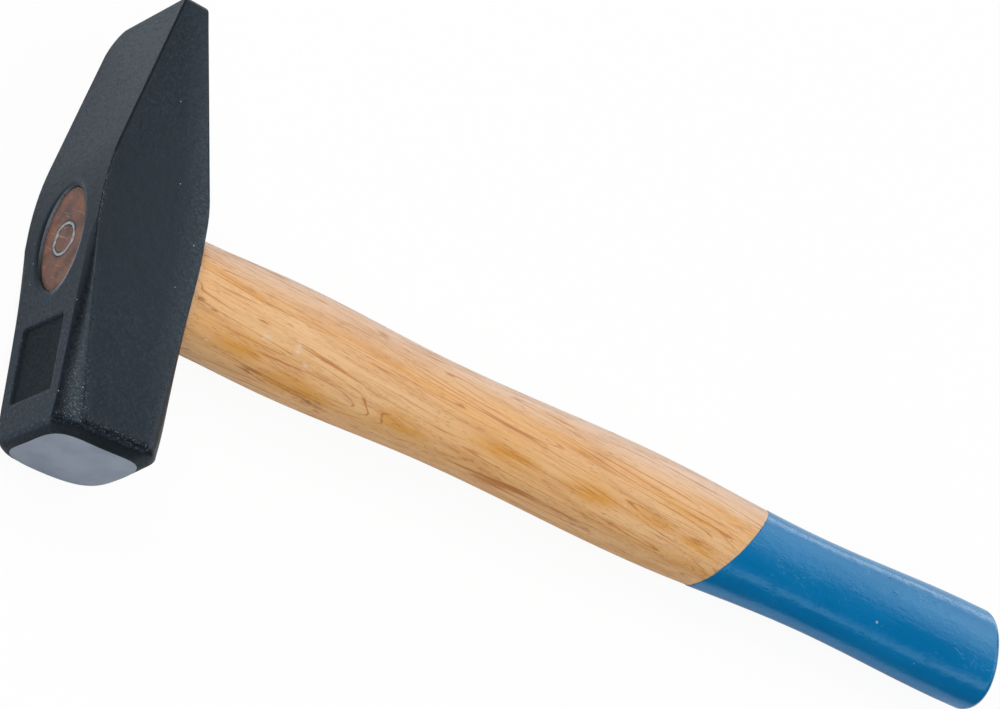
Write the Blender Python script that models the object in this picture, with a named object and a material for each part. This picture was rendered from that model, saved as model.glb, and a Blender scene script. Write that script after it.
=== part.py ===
"""Cross peen hammer: forged head, oval wooden handle, ring wedge and dipped butt coat.

Metres, +Z up. The hammer lies on its lower cheek. The origin is on that cheek, under the middle of the eye.
+X runs along the handle to the butt, and +Y along the head to the peen.
"""

import math

import bmesh
import bpy
from mathutils import Vector
from mathutils.geometry import interpolate_bezier

# Head, along Y from the striking face to the peen
HEAD_LENGTH = 0.1294
HEAD_WIDTH = 0.0335          # cheek to cheek, along Z
HEAD_DEPTH = 0.0329          # crown to handle side, along X
FACE_Y = -0.0571             # highest point of the striking face
CROWN_TAPER = 0.0003         # how much the crown falls away towards the face
UNDER_TAPER = 0.0007         # and the handle side
FACE_DOME_RADIUS = 0.114
FACE_CHAMFER_Y = -0.0540     # where the band round the face begins
FACE_RIM_X = 0.0138          # half sizes of the squarish oval where the band meets the dome
FACE_RIM_Z = 0.0133
FACE_RIM_POWER = 4.0         # 2 would be an ellipse
FACE_RIM_SHIFT = -0.0004     # the face is ground a little off the middle, along X and Z alike

# Peen, a wedge set a little towards the handle
PEEN_SHOULDER_Y = 0.0156
PEEN_CROWN_BLEND = 0.0103    # half length of the soft shoulder on the crown
PEEN_HANDLE_BLEND = 0.0040
PEEN_TIP_CROWN_X = -0.00235
PEEN_TIP_HANDLE_X = 0.0050
PEEN_NOSE_X = 0.0010         # rounding of the tip, across it
PEEN_NOSE_Y = 0.0008         # and along the head
PEEN_LOWER_CORNER = 0.0083   # big round on the corner next to the lower cheek
PEEN_UPPER_CORNER = 0.0018

# Corner bevels, which grow from nothing beside the eye to their full size at the face
BEVEL_START_Y = 0.0014
BEVEL_ON_CROWN = 0.0041
BEVEL_ON_CHEEK = 0.0061
BEVEL_GROWTH = 0.4           # power that makes the bevel open early on the crown
BEVEL_LEAN_IN = 0.75         # how steeply it leaves the crown, as a share of a straight bevel's angle
BEVEL_LEAN_OUT = 0.72        # how nearly it lies in the cheek where it ends; 1 is flush
BEVEL_REACH = 0.36           # pull of its curve at either end, as a share of its width
EDGE_BREAK = 0.0005          # rounding of every other long edge
ROUND_REACH = 0.55           # the same pull on those edges, which makes them quarter circles

# Eye, an oval that narrows to a waist inside the head
EYE_CROWN = (0.0147, 0.0094)
EYE_WAIST = (0.0138, 0.0083)
EYE_HANDLE = (0.0145, 0.0092)
EYE_WAIST_X = 0.0020
EYE_LIP_WIDTH = 0.0025       # soft round lip on the crown
EYE_LIP_DEPTH = 0.00105
EYE_MOUTH_CHAMFER = 0.0008   # on the handle side

# Sunken panel on the crown, with drafted walls
PANEL_Y = (-0.0444, -0.0241)
PANEL_Z = (-0.0089, 0.0086)
PANEL_DEPTH = 0.0010
PANEL_DRAFT = 0.0004
PANEL_CORNER = 0.0009

# Handle: X, half width along Y and half thickness along Z at the swells and waists
HANDLE_END_X = 0.3348
HANDLE_STATIONS = (
    (0.0220, 0.01560, 0.01076),
    (0.0580, 0.01645, 0.01135),
    (0.1120, 0.01510, 0.01042),
    (0.1880, 0.01672, 0.01140),
    (0.2560, 0.01490, 0.00970),
    (0.3250, 0.01672, 0.01060),
)
ELLIPSE = 2.0
HANDLE_SQUARENESS = 2.2      # power of the section, a little squarer than an ellipse
BUTT_ROUND = 0.0032
BUTT_CROWN = 0.0007
BUTT_SLANT = 0.057           # the end is cut a little longer on the peen's side
TONGUE_TOP_X = -0.0154

# Blue coat: cut along a slanted line
COAT_EDGE_X = 0.2240
COAT_SLANT = 0.74            # how far the edge runs along X for each metre of Y
COAT_SLANT_IN = 0.0480       # length over which rings lean over before the edge
COAT_SLANT_OUT = 0.0900      # and stand up again after it
COAT_PROUD = 0.00015
COAT_THICKNESS = 0.0005

# Ring wedge
WEDGE_RADIUS = 0.0048
WEDGE_WALL = 0.0011
WEDGE_LENGTH = 0.0160
WEDGE_TIP_RADIUS = 0.0042
WEDGE_TIP_WALL = 0.0005

GAP = 0.0003                 # between pieces that touch
CUTTER_OVERRUN = 0.002       # how far a cutter reaches past the surface it cuts
AXIS_Z = HEAD_WIDTH / 2
CROWN_X = -HEAD_DEPTH / 2
UNDER_X = HEAD_DEPTH / 2
PEEN_Y = FACE_Y + HEAD_LENGTH
SMOOTH_ANGLE = math.radians(28)

# How finely each form is stepped; turns are in degrees
CORNER_POINTS = 6
SIDE_POINTS = 5
OVAL_POINTS = 36
FACE_DOME_SHARES = (0.72, 0.45, 0.18)
BEVEL_STATIONS = 9
BEVEL_CROWDING = 1.6         # sections crowd together where the bevel starts
SHOULDER_STATIONS = 7
NOSE_TURNS = (0, 18, 34, 48, 60, 69, 77, 84, 90)
EYE_LIP_TURNS = (90, 72, 54, 36, 18)
EYE_WALL_STATIONS = 9
PANEL_CORNER_TURNS = (0, 30, 60, 90)
TONGUE_STATIONS = 10
SHOULDER_SWELL = ((0.3, 0.4), (0.6, 0.7))    # share of the way under the head, and of the swell
BARE_STATIONS = 22
COATED_STATIONS = 11
BUTT_TURNS = (0, 22, 42, 60, 76, 90)
BUTT_CROWN_SHARES = (0.6, 0.2)
RING_PASSES = 4              # a leaning ring settles on the surface in this many passes


def clear_scene():
    for old in list(bpy.data.objects):
        bpy.data.objects.remove(old, do_unlink=True)


def finish(name, colour, roughness, metallic):
    material = bpy.data.materials.new(name)
    material.use_nodes = True
    shader = material.node_tree.nodes["Principled BSDF"]
    shader.inputs["Base Color"].default_value = (*colour, 1.0)
    shader.inputs["Roughness"].default_value = roughness
    shader.inputs["Metallic"].default_value = metallic
    return material


def ease(start, end, share):
    """Goes from start to end with no slope at either."""
    share = min(max(share, 0.0), 1.0)
    return start + (end - start) * (0.5 - 0.5 * math.cos(math.pi * share))


def quarter_round(size_along, size_across, distance):
    """How far a round edge has turned in across, at a distance along from where the piece ends."""
    if distance >= size_along:
        return 0.0
    share = 1.0 - max(distance, 0.0) / size_along
    return size_across * (1.0 - math.sqrt(1.0 - share * share))


def object_from(bm, name, material=None):
    bmesh.ops.recalc_face_normals(bm, faces=bm.faces)
    mesh = bpy.data.meshes.new(name)
    bm.to_mesh(mesh)
    bm.free()
    piece = bpy.data.objects.new(name, mesh)
    bpy.context.scene.collection.objects.link(piece)
    if material:
        mesh.materials.append(material)
        mesh.shade_smooth()
        mesh.set_sharp_from_angle(angle=SMOOTH_ANGLE)
    return piece


def skin(bm, rings, closed=False):
    """Joins rings of points by quads, and closes the ends unless the last ring runs back into the first."""
    loops = [[bm.verts.new(point) for point in ring] for ring in rings]
    pairs = list(zip(loops, loops[1:]))
    if closed:
        pairs.append((loops[-1], loops[0]))
    for near, far in pairs:
        for i in range(len(near)):
            j = (i + 1) % len(near)
            bm.faces.new((near[i], near[j], far[j], far[i]))
    if not closed:
        bm.faces.new(loops[0])
        bm.faces.new(loops[-1])


def loft(name, rings, material=None):
    bm = bmesh.new()
    skin(bm, rings)
    return object_from(bm, name, material)


def cut(piece, cutter):
    cutter.hide_render = True
    cutter.display_type = "WIRE"
    step = piece.modifiers.new(cutter.name, "BOOLEAN")
    step.operation = "DIFFERENCE"
    step.solver = "EXACT"
    step.object = cutter


def bent_line(y, body_x, tip_x, blend):
    """X of a side of the head at y: straight along the body, then a soft bend, then down to the tip."""
    slope = (tip_x - body_x) / (PEEN_Y - PEEN_SHOULDER_Y)
    past = y - PEEN_SHOULDER_Y
    if past <= -blend:
        return body_x
    if past >= blend:
        return body_x + slope * past
    return body_x + slope * (past + blend) ** 2 / (4.0 * blend)


def bevel_legs(y):
    """Width of the corner bevel along Z on the crown, and along X on the cheek."""
    grown = (BEVEL_START_Y - y) / (BEVEL_START_Y - FACE_CHAMFER_Y)
    if grown <= 0.0:
        return EDGE_BREAK, EDGE_BREAK
    on_crown = max(EDGE_BREAK, BEVEL_ON_CROWN * grown ** BEVEL_GROWTH)
    on_cheek = max(EDGE_BREAK, BEVEL_ON_CHEEK * grown)
    return on_crown, on_cheek


def head_limits(y):
    """Lowest and highest X and Z of the head at y, with Z counted from the handle's axis."""
    fall = max(0.0, y / FACE_CHAMFER_Y)
    nose = quarter_round(PEEN_NOSE_Y, PEEN_NOSE_X, PEEN_Y - y)
    crown = bent_line(y, CROWN_X + CROWN_TAPER * fall, PEEN_TIP_CROWN_X, PEEN_CROWN_BLEND) + nose
    under = bent_line(y, UNDER_X - UNDER_TAPER * fall, PEEN_TIP_HANDLE_X, PEEN_HANDLE_BLEND) - nose
    low = -AXIS_Z + quarter_round(PEEN_LOWER_CORNER, PEEN_LOWER_CORNER, PEEN_Y - y)
    high = AXIS_Z - quarter_round(PEEN_UPPER_CORNER, PEEN_UPPER_CORNER, PEEN_Y - y)
    return crown, under, low, high


def corner_profile(y):
    """Section of a corner at y from crown to cheek, as distances in along X and Z from the unbroken corner.

    A bevel leaves the crown at a clear angle and rounds over into the cheek. Other edges are only broken.
    """
    on_crown, on_cheek = bevel_legs(y)
    bevelled = min((on_crown - EDGE_BREAK) / EDGE_BREAK, 1.0)
    slope = math.atan2(on_cheek, on_crown)
    width = math.hypot(on_cheek, on_crown)
    lean_in = bevelled * BEVEL_LEAN_IN * slope
    lean_out = math.pi / 2 - bevelled * (1.0 - BEVEL_LEAN_OUT) * (math.pi / 2 - slope)
    reach_in = ROUND_REACH * on_crown + bevelled * (BEVEL_REACH * width - ROUND_REACH * on_crown)
    reach_out = ROUND_REACH * on_cheek + bevelled * (BEVEL_REACH * width - ROUND_REACH * on_cheek)
    start = Vector((0.0, on_crown))
    end = Vector((on_cheek, 0.0))
    leave = start + reach_in * Vector((math.sin(lean_in), -math.cos(lean_in)))
    enter = end - reach_out * Vector((math.sin(lean_out), -math.cos(lean_out)))
    return interpolate_bezier(start, leave, enter, end, CORNER_POINTS)


def head_ring(y):
    """Section of the head at y: four straight sides and four bevelled corners."""
    crown, under, low, high = head_limits(y)
    profile = corner_profile(y)
    outline = []
    corners = ((crown, high, 1, -1), (under, high, -1, -1), (under, low, -1, 1), (crown, low, 1, 1))
    for tip_x, tip_z, in_x, in_z in corners:
        corner = [Vector((tip_x + in_x * point.x, tip_z + in_z * point.y)) for point in profile]
        outline += corner if in_x * in_z < 0 else reversed(corner)
    ring = []
    for i, point in enumerate(outline):
        ring.append(point)
        if i % CORNER_POINTS == CORNER_POINTS - 1:
            onward = outline[(i + 1) % len(outline)]
            for k in range(1, SIDE_POINTS + 1):
                ring.append(point.lerp(onward, k / (SIDE_POINTS + 1)))
    return [Vector((point.x, y, AXIS_Z + point.y)) for point in ring]


def dome_y(x, z):
    """Y of the striking face, a shallow dome about the middle of the section."""
    return FACE_Y + (x * x + (z - AXIS_Z) ** 2) / (2.0 * FACE_DOME_RADIUS)


def face_rim(point):
    """Point of the face's rim that lies straight inward of a point of the section."""
    out_x = point.x - FACE_RIM_SHIFT
    out_z = point.z - AXIS_Z - FACE_RIM_SHIFT
    powers = abs(out_x / FACE_RIM_X) ** FACE_RIM_POWER + abs(out_z / FACE_RIM_Z) ** FACE_RIM_POWER
    share = powers ** (-1.0 / FACE_RIM_POWER)
    x = FACE_RIM_SHIFT + share * out_x
    z = AXIS_Z + FACE_RIM_SHIFT + share * out_z
    return Vector((x, dome_y(x, z), z))


def face_rings():
    """Rim where the band round the face meets the dome, and rings on the dome that close it."""
    rim = [face_rim(point) for point in head_ring(FACE_CHAMFER_Y)]
    rings = [rim]
    for share in FACE_DOME_SHARES:
        ring = []
        for point in rim:
            x = point.x * share
            z = AXIS_Z + (point.z - AXIS_Z) * share
            ring.append(Vector((x, dome_y(x, z), z)))
        rings.append(ring)
    return rings


def head_stations():
    """Places along Y where the section of the head changes, from the face to the peen."""
    stations = []
    for i in range(BEVEL_STATIONS + 1):
        grown = (1.0 - i / BEVEL_STATIONS) ** BEVEL_CROWDING
        stations.append(BEVEL_START_Y + (FACE_CHAMFER_Y - BEVEL_START_Y) * grown)
    for i in range(SHOULDER_STATIONS):
        stations.append(PEEN_SHOULDER_Y + PEEN_CROWN_BLEND * (2.0 * i / (SHOULDER_STATIONS - 1) - 1.0))
    for turn in NOSE_TURNS:
        stations.append(PEEN_Y - PEEN_LOWER_CORNER * (1.0 - math.sin(math.radians(turn))))
    return stations


def eye_half_sizes(x):
    """Half sizes of the eye along Y and Z at a place along the handle."""
    if x < EYE_WAIST_X:
        share = (EYE_WAIST_X - x) / (EYE_WAIST_X - CROWN_X)
        mouth = EYE_CROWN
    else:
        share = (x - EYE_WAIST_X) / (UNDER_X - EYE_WAIST_X)
        mouth = EYE_HANDLE
    return [ease(waist, end, share) for waist, end in zip(EYE_WAIST, mouth)]


def oval_ring(x, half_y, half_z, power=ELLIPSE):
    ring = []
    for i in range(OVAL_POINTS):
        turn = 2.0 * math.pi * i / OVAL_POINTS
        across = math.copysign(abs(math.cos(turn)) ** (ELLIPSE / power), math.cos(turn))
        up = math.copysign(abs(math.sin(turn)) ** (ELLIPSE / power), math.sin(turn))
        ring.append(Vector((x, half_y * across, AXIS_Z + half_z * up)))
    return ring


def eye_cutter():
    """The hole for the tongue: a round lip on the crown, a waist, and a chamfered mouth under the head."""
    outer = [half + EYE_LIP_WIDTH for half in EYE_CROWN]
    rings = [oval_ring(CROWN_X - CUTTER_OVERRUN, *outer)]
    for turn in EYE_LIP_TURNS:
        out = EYE_LIP_WIDTH * (1.0 - math.cos(math.radians(turn)))
        x = CROWN_X + EYE_LIP_DEPTH * (1.0 - math.sin(math.radians(turn)))
        rings.append(oval_ring(x, EYE_CROWN[0] + out, EYE_CROWN[1] + out))
    wall_start = CROWN_X + EYE_LIP_DEPTH
    wall_end = UNDER_X - EYE_MOUTH_CHAMFER
    for i in range(EYE_WALL_STATIONS):
        x = wall_start + (wall_end - wall_start) * i / (EYE_WALL_STATIONS - 1)
        rings.append(oval_ring(x, *eye_half_sizes(x)))
    mouth = [half + EYE_MOUTH_CHAMFER + CUTTER_OVERRUN for half in EYE_HANDLE]
    rings.append(oval_ring(UNDER_X + CUTTER_OVERRUN, *mouth))
    return loft("eye_cutter", rings)


def panel_cutter():
    """Shallow panel with drafted walls and small round corners."""
    middle_y = sum(PANEL_Y) / 2
    middle_z = sum(PANEL_Z) / 2
    rings = []
    for x, draft in ((CROWN_X - PANEL_DEPTH, PANEL_DRAFT), (CROWN_X + PANEL_DEPTH, 0.0)):
        reach_y = (PANEL_Y[1] - PANEL_Y[0]) / 2 - PANEL_CORNER + draft
        reach_z = (PANEL_Z[1] - PANEL_Z[0]) / 2 - PANEL_CORNER + draft
        ring = []
        for quarter, (side_y, side_z) in enumerate(((1, 1), (-1, 1), (-1, -1), (1, -1))):
            for turn in PANEL_CORNER_TURNS:
                angle = math.radians(90 * quarter + turn)
                y = middle_y + side_y * reach_y + PANEL_CORNER * math.cos(angle)
                z = middle_z + side_z * reach_z + PANEL_CORNER * math.sin(angle)
                ring.append(Vector((x, y, AXIS_Z + z)))
        rings.append(ring)
    return loft("panel_cutter", rings)


def build_head(material):
    rings = list(reversed(face_rings())) + [head_ring(y) for y in head_stations()]
    head = loft("hammer_head", rings, material)
    cut(head, eye_cutter())
    cut(head, panel_cutter())
    return head


def handle_half_sizes(x):
    """Half width along Y and half thickness along Z of the handle, eased between its swells and waists."""
    before = HANDLE_STATIONS[0]
    for after in HANDLE_STATIONS[1:]:
        if x <= after[0]:
            share = (x - before[0]) / (after[0] - before[0])
            return ease(before[1], after[1], share), ease(before[2], after[2], share)
        before = after
    return before[1], before[2]


def ring_slant(station):
    """Rings lean over to run beside the edge of the coat, and then come round to the butt's slant."""
    if station <= COAT_EDGE_X:
        return ease(COAT_SLANT, 0.0, (COAT_EDGE_X - station) / COAT_SLANT_IN)
    return ease(COAT_SLANT, BUTT_SLANT, (station - COAT_EDGE_X) / COAT_SLANT_OUT)


def handle_ring(station, inset, end_x):
    """Ring on the handle's surface, sunk by inset, on a handle that ends at end_x."""
    slant = ring_slant(station)
    edge = BUTT_ROUND - inset
    ring = []
    for unit in oval_ring(0.0, 1.0, 1.0, HANDLE_SQUARENESS):
        across = unit.y
        up = unit.z - AXIS_Z
        x = station
        y = 0.0
        for _ in range(RING_PASSES):
            half_y, half_z = handle_half_sizes(x)
            turned_in = inset + quarter_round(edge, edge, end_x + BUTT_SLANT * y - x)
            y = (half_y - turned_in) * across
            x = station + slant * y
        ring.append(Vector((x, y, AXIS_Z + (half_z - turned_in) * up)))
    return ring


def butt_rings(inset, end_x):
    """Rings from the round edge of the butt to the middle of its slightly crowned end."""
    edge = BUTT_ROUND - inset
    rings = []
    for turn in BUTT_TURNS:
        station = end_x - edge * (1.0 - math.sin(math.radians(turn)))
        rings.append(handle_ring(station, inset, end_x))
    rim = rings[-1]
    for share in BUTT_CROWN_SHARES:
        crown = BUTT_CROWN * (1.0 - share * share)
        ring = []
        for point in rim:
            y = point.y * share
            ring.append(Vector((end_x + crown + BUTT_SLANT * y, y, AXIS_Z + (point.z - AXIS_Z) * share)))
        rings.append(ring)
    return rings


def coated_rings(first, inset, end_x):
    """Evenly spaced rings from the edge of the coat to the round edge of the butt, and over its end."""
    last = end_x - BUTT_ROUND
    rings = []
    for i in range(COATED_STATIONS):
        rings.append(handle_ring(first + (last - first) * i / COATED_STATIONS, inset, end_x))
    return rings + butt_rings(inset, end_x)


def tongue_rings():
    """The tongue fills the eye, and the shoulder swells out just under the head."""
    rings = []
    for i in range(TONGUE_STATIONS):
        x = TONGUE_TOP_X + (UNDER_X - TONGUE_TOP_X) * i / (TONGUE_STATIONS - 1)
        half_y, half_z = [half - GAP for half in eye_half_sizes(x)]
        rings.append(oval_ring(x, half_y, half_z))
    shoulder_x, shoulder_y, shoulder_z = HANDLE_STATIONS[0]
    for share, swell in SHOULDER_SWELL:
        x = UNDER_X + (shoulder_x - UNDER_X) * share
        power = ELLIPSE + (HANDLE_SQUARENESS - ELLIPSE) * share
        rings.append(oval_ring(x, ease(half_y, shoulder_y, swell), ease(half_z, shoulder_z, swell), power))
    return rings


def wedge_profile(gap, above):
    """Radius and X of the ring wedge's section: outer side, then inner side, widened by gap."""
    top = TONGUE_TOP_X - above
    tip = TONGUE_TOP_X + WEDGE_LENGTH + gap
    return (
        (WEDGE_RADIUS + gap, top),
        (WEDGE_TIP_RADIUS + gap, tip),
        (WEDGE_TIP_RADIUS - WEDGE_TIP_WALL - gap, tip),
        (WEDGE_RADIUS - WEDGE_WALL - gap, top),
    )


def turned(name, profile, material=None):
    """Ring turned about the wedge's own axis, which runs along X."""
    rings = []
    for i in range(OVAL_POINTS):
        turn = 2.0 * math.pi * i / OVAL_POINTS
        ring = []
        for radius, x in profile:
            ring.append(Vector((x, radius * math.cos(turn), AXIS_Z + radius * math.sin(turn))))
        rings.append(ring)
    bm = bmesh.new()
    skin(bm, rings, closed=True)
    return object_from(bm, name, material)


def groove_cutter():
    """Groove in the end grain, open at the top, that the ring wedge fills."""
    return turned("groove_cutter", wedge_profile(GAP, CUTTER_OVERRUN))


def build_handle(material):
    """Tongue, bare wood, and the butt under the coat, smaller by the coat's thickness and a gap."""
    rings = tongue_rings()
    first = HANDLE_STATIONS[0][0]
    last = COAT_EDGE_X - GAP
    for i in range(BARE_STATIONS):
        station = first + (last - first) * i / (BARE_STATIONS - 1)
        rings.append(handle_ring(station, 0.0, HANDLE_END_X))
    covered = COAT_THICKNESS - COAT_PROUD + GAP
    rings += coated_rings(COAT_EDGE_X, covered, HANDLE_END_X - covered)
    handle = loft("handle", rings, material)
    cut(handle, groove_cutter())
    return handle


def build_wedge(material):
    return turned("ring_wedge", wedge_profile(0.0, 0.0), material)


def build_coat(material):
    """A cup over the butt: out along its outer side, round the end, and back along its inner side."""
    inner = COAT_THICKNESS - COAT_PROUD
    first = COAT_EDGE_X + GAP
    outside = coated_rings(first, -COAT_PROUD, HANDLE_END_X + COAT_PROUD)
    inside = coated_rings(first, inner, HANDLE_END_X - inner)
    return loft("dip_coat", list(reversed(outside)) + inside, material)


def main():
    clear_scene()
    build_head(finish("head_lacquer", (0.055, 0.065, 0.078), 0.45, 0.0))
    build_handle(finish("handle_wood", (0.66, 0.42, 0.19), 0.42, 0.0))
    build_wedge(finish("wedge_steel", (0.42, 0.44, 0.45), 0.35, 1.0))
    build_coat(finish("coat_blue", (0.012, 0.155, 0.36), 0.30, 0.0))


main()
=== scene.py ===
"""Cross peen hammer: fine meshes, finishes, floor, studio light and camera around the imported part.

Metres, in the part's own frame: +X along the handle to its butt, +Y along the head to the peen, +Z up.
"""

import logging
import math
from collections.abc import Sequence
from dataclasses import dataclass
from enum import Enum

import bmesh
import bpy
import numpy as np
from mathutils import Matrix, Vector, noise


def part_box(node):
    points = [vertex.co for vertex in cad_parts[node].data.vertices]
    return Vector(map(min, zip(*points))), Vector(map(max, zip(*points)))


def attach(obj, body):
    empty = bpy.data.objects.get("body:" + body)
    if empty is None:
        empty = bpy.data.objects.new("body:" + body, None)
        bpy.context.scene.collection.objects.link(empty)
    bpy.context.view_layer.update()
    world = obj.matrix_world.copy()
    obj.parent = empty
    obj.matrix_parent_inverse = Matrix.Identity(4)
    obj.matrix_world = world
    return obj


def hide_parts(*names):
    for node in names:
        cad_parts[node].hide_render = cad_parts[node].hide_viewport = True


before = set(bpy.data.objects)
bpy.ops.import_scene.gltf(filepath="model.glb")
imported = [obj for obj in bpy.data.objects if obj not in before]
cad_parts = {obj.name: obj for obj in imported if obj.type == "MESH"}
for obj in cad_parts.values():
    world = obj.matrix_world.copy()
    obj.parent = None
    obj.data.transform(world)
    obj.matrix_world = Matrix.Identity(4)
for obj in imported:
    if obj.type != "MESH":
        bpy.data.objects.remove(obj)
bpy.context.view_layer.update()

LOG = logging.getLogger("hammer")
BODY = "root"

Colour = tuple[float, float, float]
Triple = tuple[float, float, float]
Pair = tuple[float, float]
Patch = tuple[Triple, Triple]
Span = tuple[float, ...]
Specks = tuple[float | Triple, float, float]
Number = float | np.ndarray
Socket = bpy.types.NodeSocket
Value = Socket | float | tuple

# Stretches of a noise: nearly all of it, and its middle for a stronger contrast
MOST_OF_NOISE: Pair = (0.3, 0.7)
MIDDLE_OF_NOISE: Pair = (0.35, 0.65)
# Distance between the stretches of noise that two seeds are read from
SEED_STEP = 31.7


class Blend(Enum):
    """How one colour is laid over another."""

    MIX = "MIX"
    MULTIPLY = "MULTIPLY"


class Side(Enum):
    """Which end of the boxed node a size is read from."""

    LOW = 0
    HIGH = 1


class Ends(Enum):
    """What is done with the first and the last ring of a skin."""

    CAPPED = "capped"
    JOINED = "joined"


def limit(node: str, axis: int, side: Side) -> float:
    """Coordinate of one face of a node's box."""
    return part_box(node)[side.value][axis]


# Height of the handle's axis, half way between the cheeks
AXIS_Z = limit("hammer_head", 2, Side.HIGH) / 2


def ramp(value: Number, start: float, end: float) -> np.ndarray:
    """Rises straight from 0 at start to 1 at end, whichever is larger, and is held outside them."""
    return np.clip((value - start) / (end - start), 0.0, 1.0)


def ease(start: Number, end: Number, share: Number) -> np.ndarray:
    """Goes from start at share 0 to end at share 1, with no slope at either."""
    held = np.clip(share, 0.0, 1.0)
    return start + (end - start) * (0.5 - 0.5 * np.cos(np.pi * held))


def quarter_round(along: float, across: float, distance: Number) -> np.ndarray:
    """How far a round edge has turned in across a piece, at a distance from where the piece ends."""
    share = 1.0 - np.clip(distance, 0.0, along) / along
    return across * (1.0 - np.sqrt(np.maximum(0.0, 1.0 - share * share)))


def waver(points: np.ndarray, size: Triple, seed: int) -> np.ndarray:
    """Smooth unevenness for every point.

    Args:
        points: places, as rows of X, Y and Z in any number of leading dimensions.
        size: width of one swell along X, Y and Z.
        seed: picks one of many unlike surfaces.

    Returns:
        One number from about -1 to 1 for each point.
    """
    flat = points.reshape(-1, 3) / np.array(size) + SEED_STEP * seed
    values = [noise.noise(Vector(point)) for point in flat.tolist()]
    return np.array(values).reshape(points.shape[:-1])


def hollows(points: np.ndarray, size: Triple, seed: int) -> np.ndarray:
    """The same unevenness as depths from about 0 to 1."""
    return 0.5 + 0.5 * waver(points, size, seed)


def oval(x: float, half_y: float, half_z: float, around: int) -> np.ndarray:
    """Ring of points round the handle's axis, facing along X, as rows of X, Y and Z."""
    turn = np.linspace(0.0, 2.0 * np.pi, around, endpoint=False)
    return np.stack((np.full(around, x), half_y * np.cos(turn), AXIS_Z + half_z * np.sin(turn)), axis=-1)


def skin(name: str, rings: np.ndarray, finishes: Sequence[bpy.types.Material] = (),
         picks: Sequence[int] | None = None, ends: Ends = Ends.CAPPED) -> bpy.types.Object:
    """Joins rings of points by quads into a closed mesh.

    Args:
        name: name of the piece.
        rings: points by ring, by place round the ring, by axis.
        finishes: materials of the piece.
        picks: which material each strip between two rings of a capped skin has.
        ends: whether the end rings are capped or joined to each other.

    Returns:
        The new object, shaded smooth.
    """
    count, around = rings.shape[:2]
    index = np.arange(count * around).reshape(count, around)
    near, far, caps = index, np.roll(index, -1, 0), []
    if ends is Ends.CAPPED:
        near, far, caps = index[:-1], index[1:], [index[0].tolist(), index[-1].tolist()]
    strips = np.stack((near, np.roll(near, -1, 1), np.roll(far, -1, 1), far), axis=-1)
    mesh = bpy.data.meshes.new(name)
    mesh.from_pydata(rings.reshape(-1, 3).tolist(), [], strips.reshape(-1, 4).tolist() + caps)
    for material in finishes:
        mesh.materials.append(material)
    if picks is not None:
        by_face = np.concatenate((np.repeat(picks, around), [picks[0], picks[-1]])).astype(np.int32)
        mesh.polygons.foreach_set("material_index", by_face)
    bm = bmesh.new()
    bm.from_mesh(mesh)
    bmesh.ops.recalc_face_normals(bm, faces=bm.faces[:])
    bm.to_mesh(mesh)
    bm.free()
    mesh.shade_smooth()
    piece = bpy.data.objects.new(name, mesh)
    bpy.context.scene.collection.objects.link(piece)
    return piece


def carve(piece: bpy.types.Object, cutters: Sequence[bpy.types.Object]) -> None:
    """Cuts the shape of each cutter out of a piece for good, and removes the cutters.

    Args:
        piece: what is cut.
        cutters: closed shapes.
    """
    for cutter in cutters:
        step = piece.modifiers.new(cutter.name, "BOOLEAN")
        step.operation = "DIFFERENCE"
        step.solver = "EXACT"
        step.object = cutter
    shaped = piece.evaluated_get(bpy.context.evaluated_depsgraph_get())
    blank = piece.data
    name = blank.name
    mesh = bpy.data.meshes.new_from_object(shaped)
    piece.modifiers.clear()
    piece.data = mesh
    bpy.data.meshes.remove(blank)
    mesh.name = name
    for cutter in cutters:
        old = cutter.data
        bpy.data.objects.remove(cutter)
        bpy.data.meshes.remove(old)


def vertex_places(piece: bpy.types.Object) -> np.ndarray:
    """Places of all vertices of a piece.

    Args:
        piece: a mesh object.

    Returns:
        Rows of X, Y and Z.
    """
    flat = np.empty(len(piece.data.vertices) * 3)
    piece.data.vertices.foreach_get("co", flat)
    return flat.reshape(-1, 3)


def mark(piece: bpy.types.Object, name: str, values: np.ndarray) -> None:
    """Writes one number for each vertex, for a finish to read."""
    layer = piece.data.attributes.new(name, "FLOAT", "POINT")
    layer.data.foreach_set("value", values.astype(np.float32).ravel())


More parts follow.
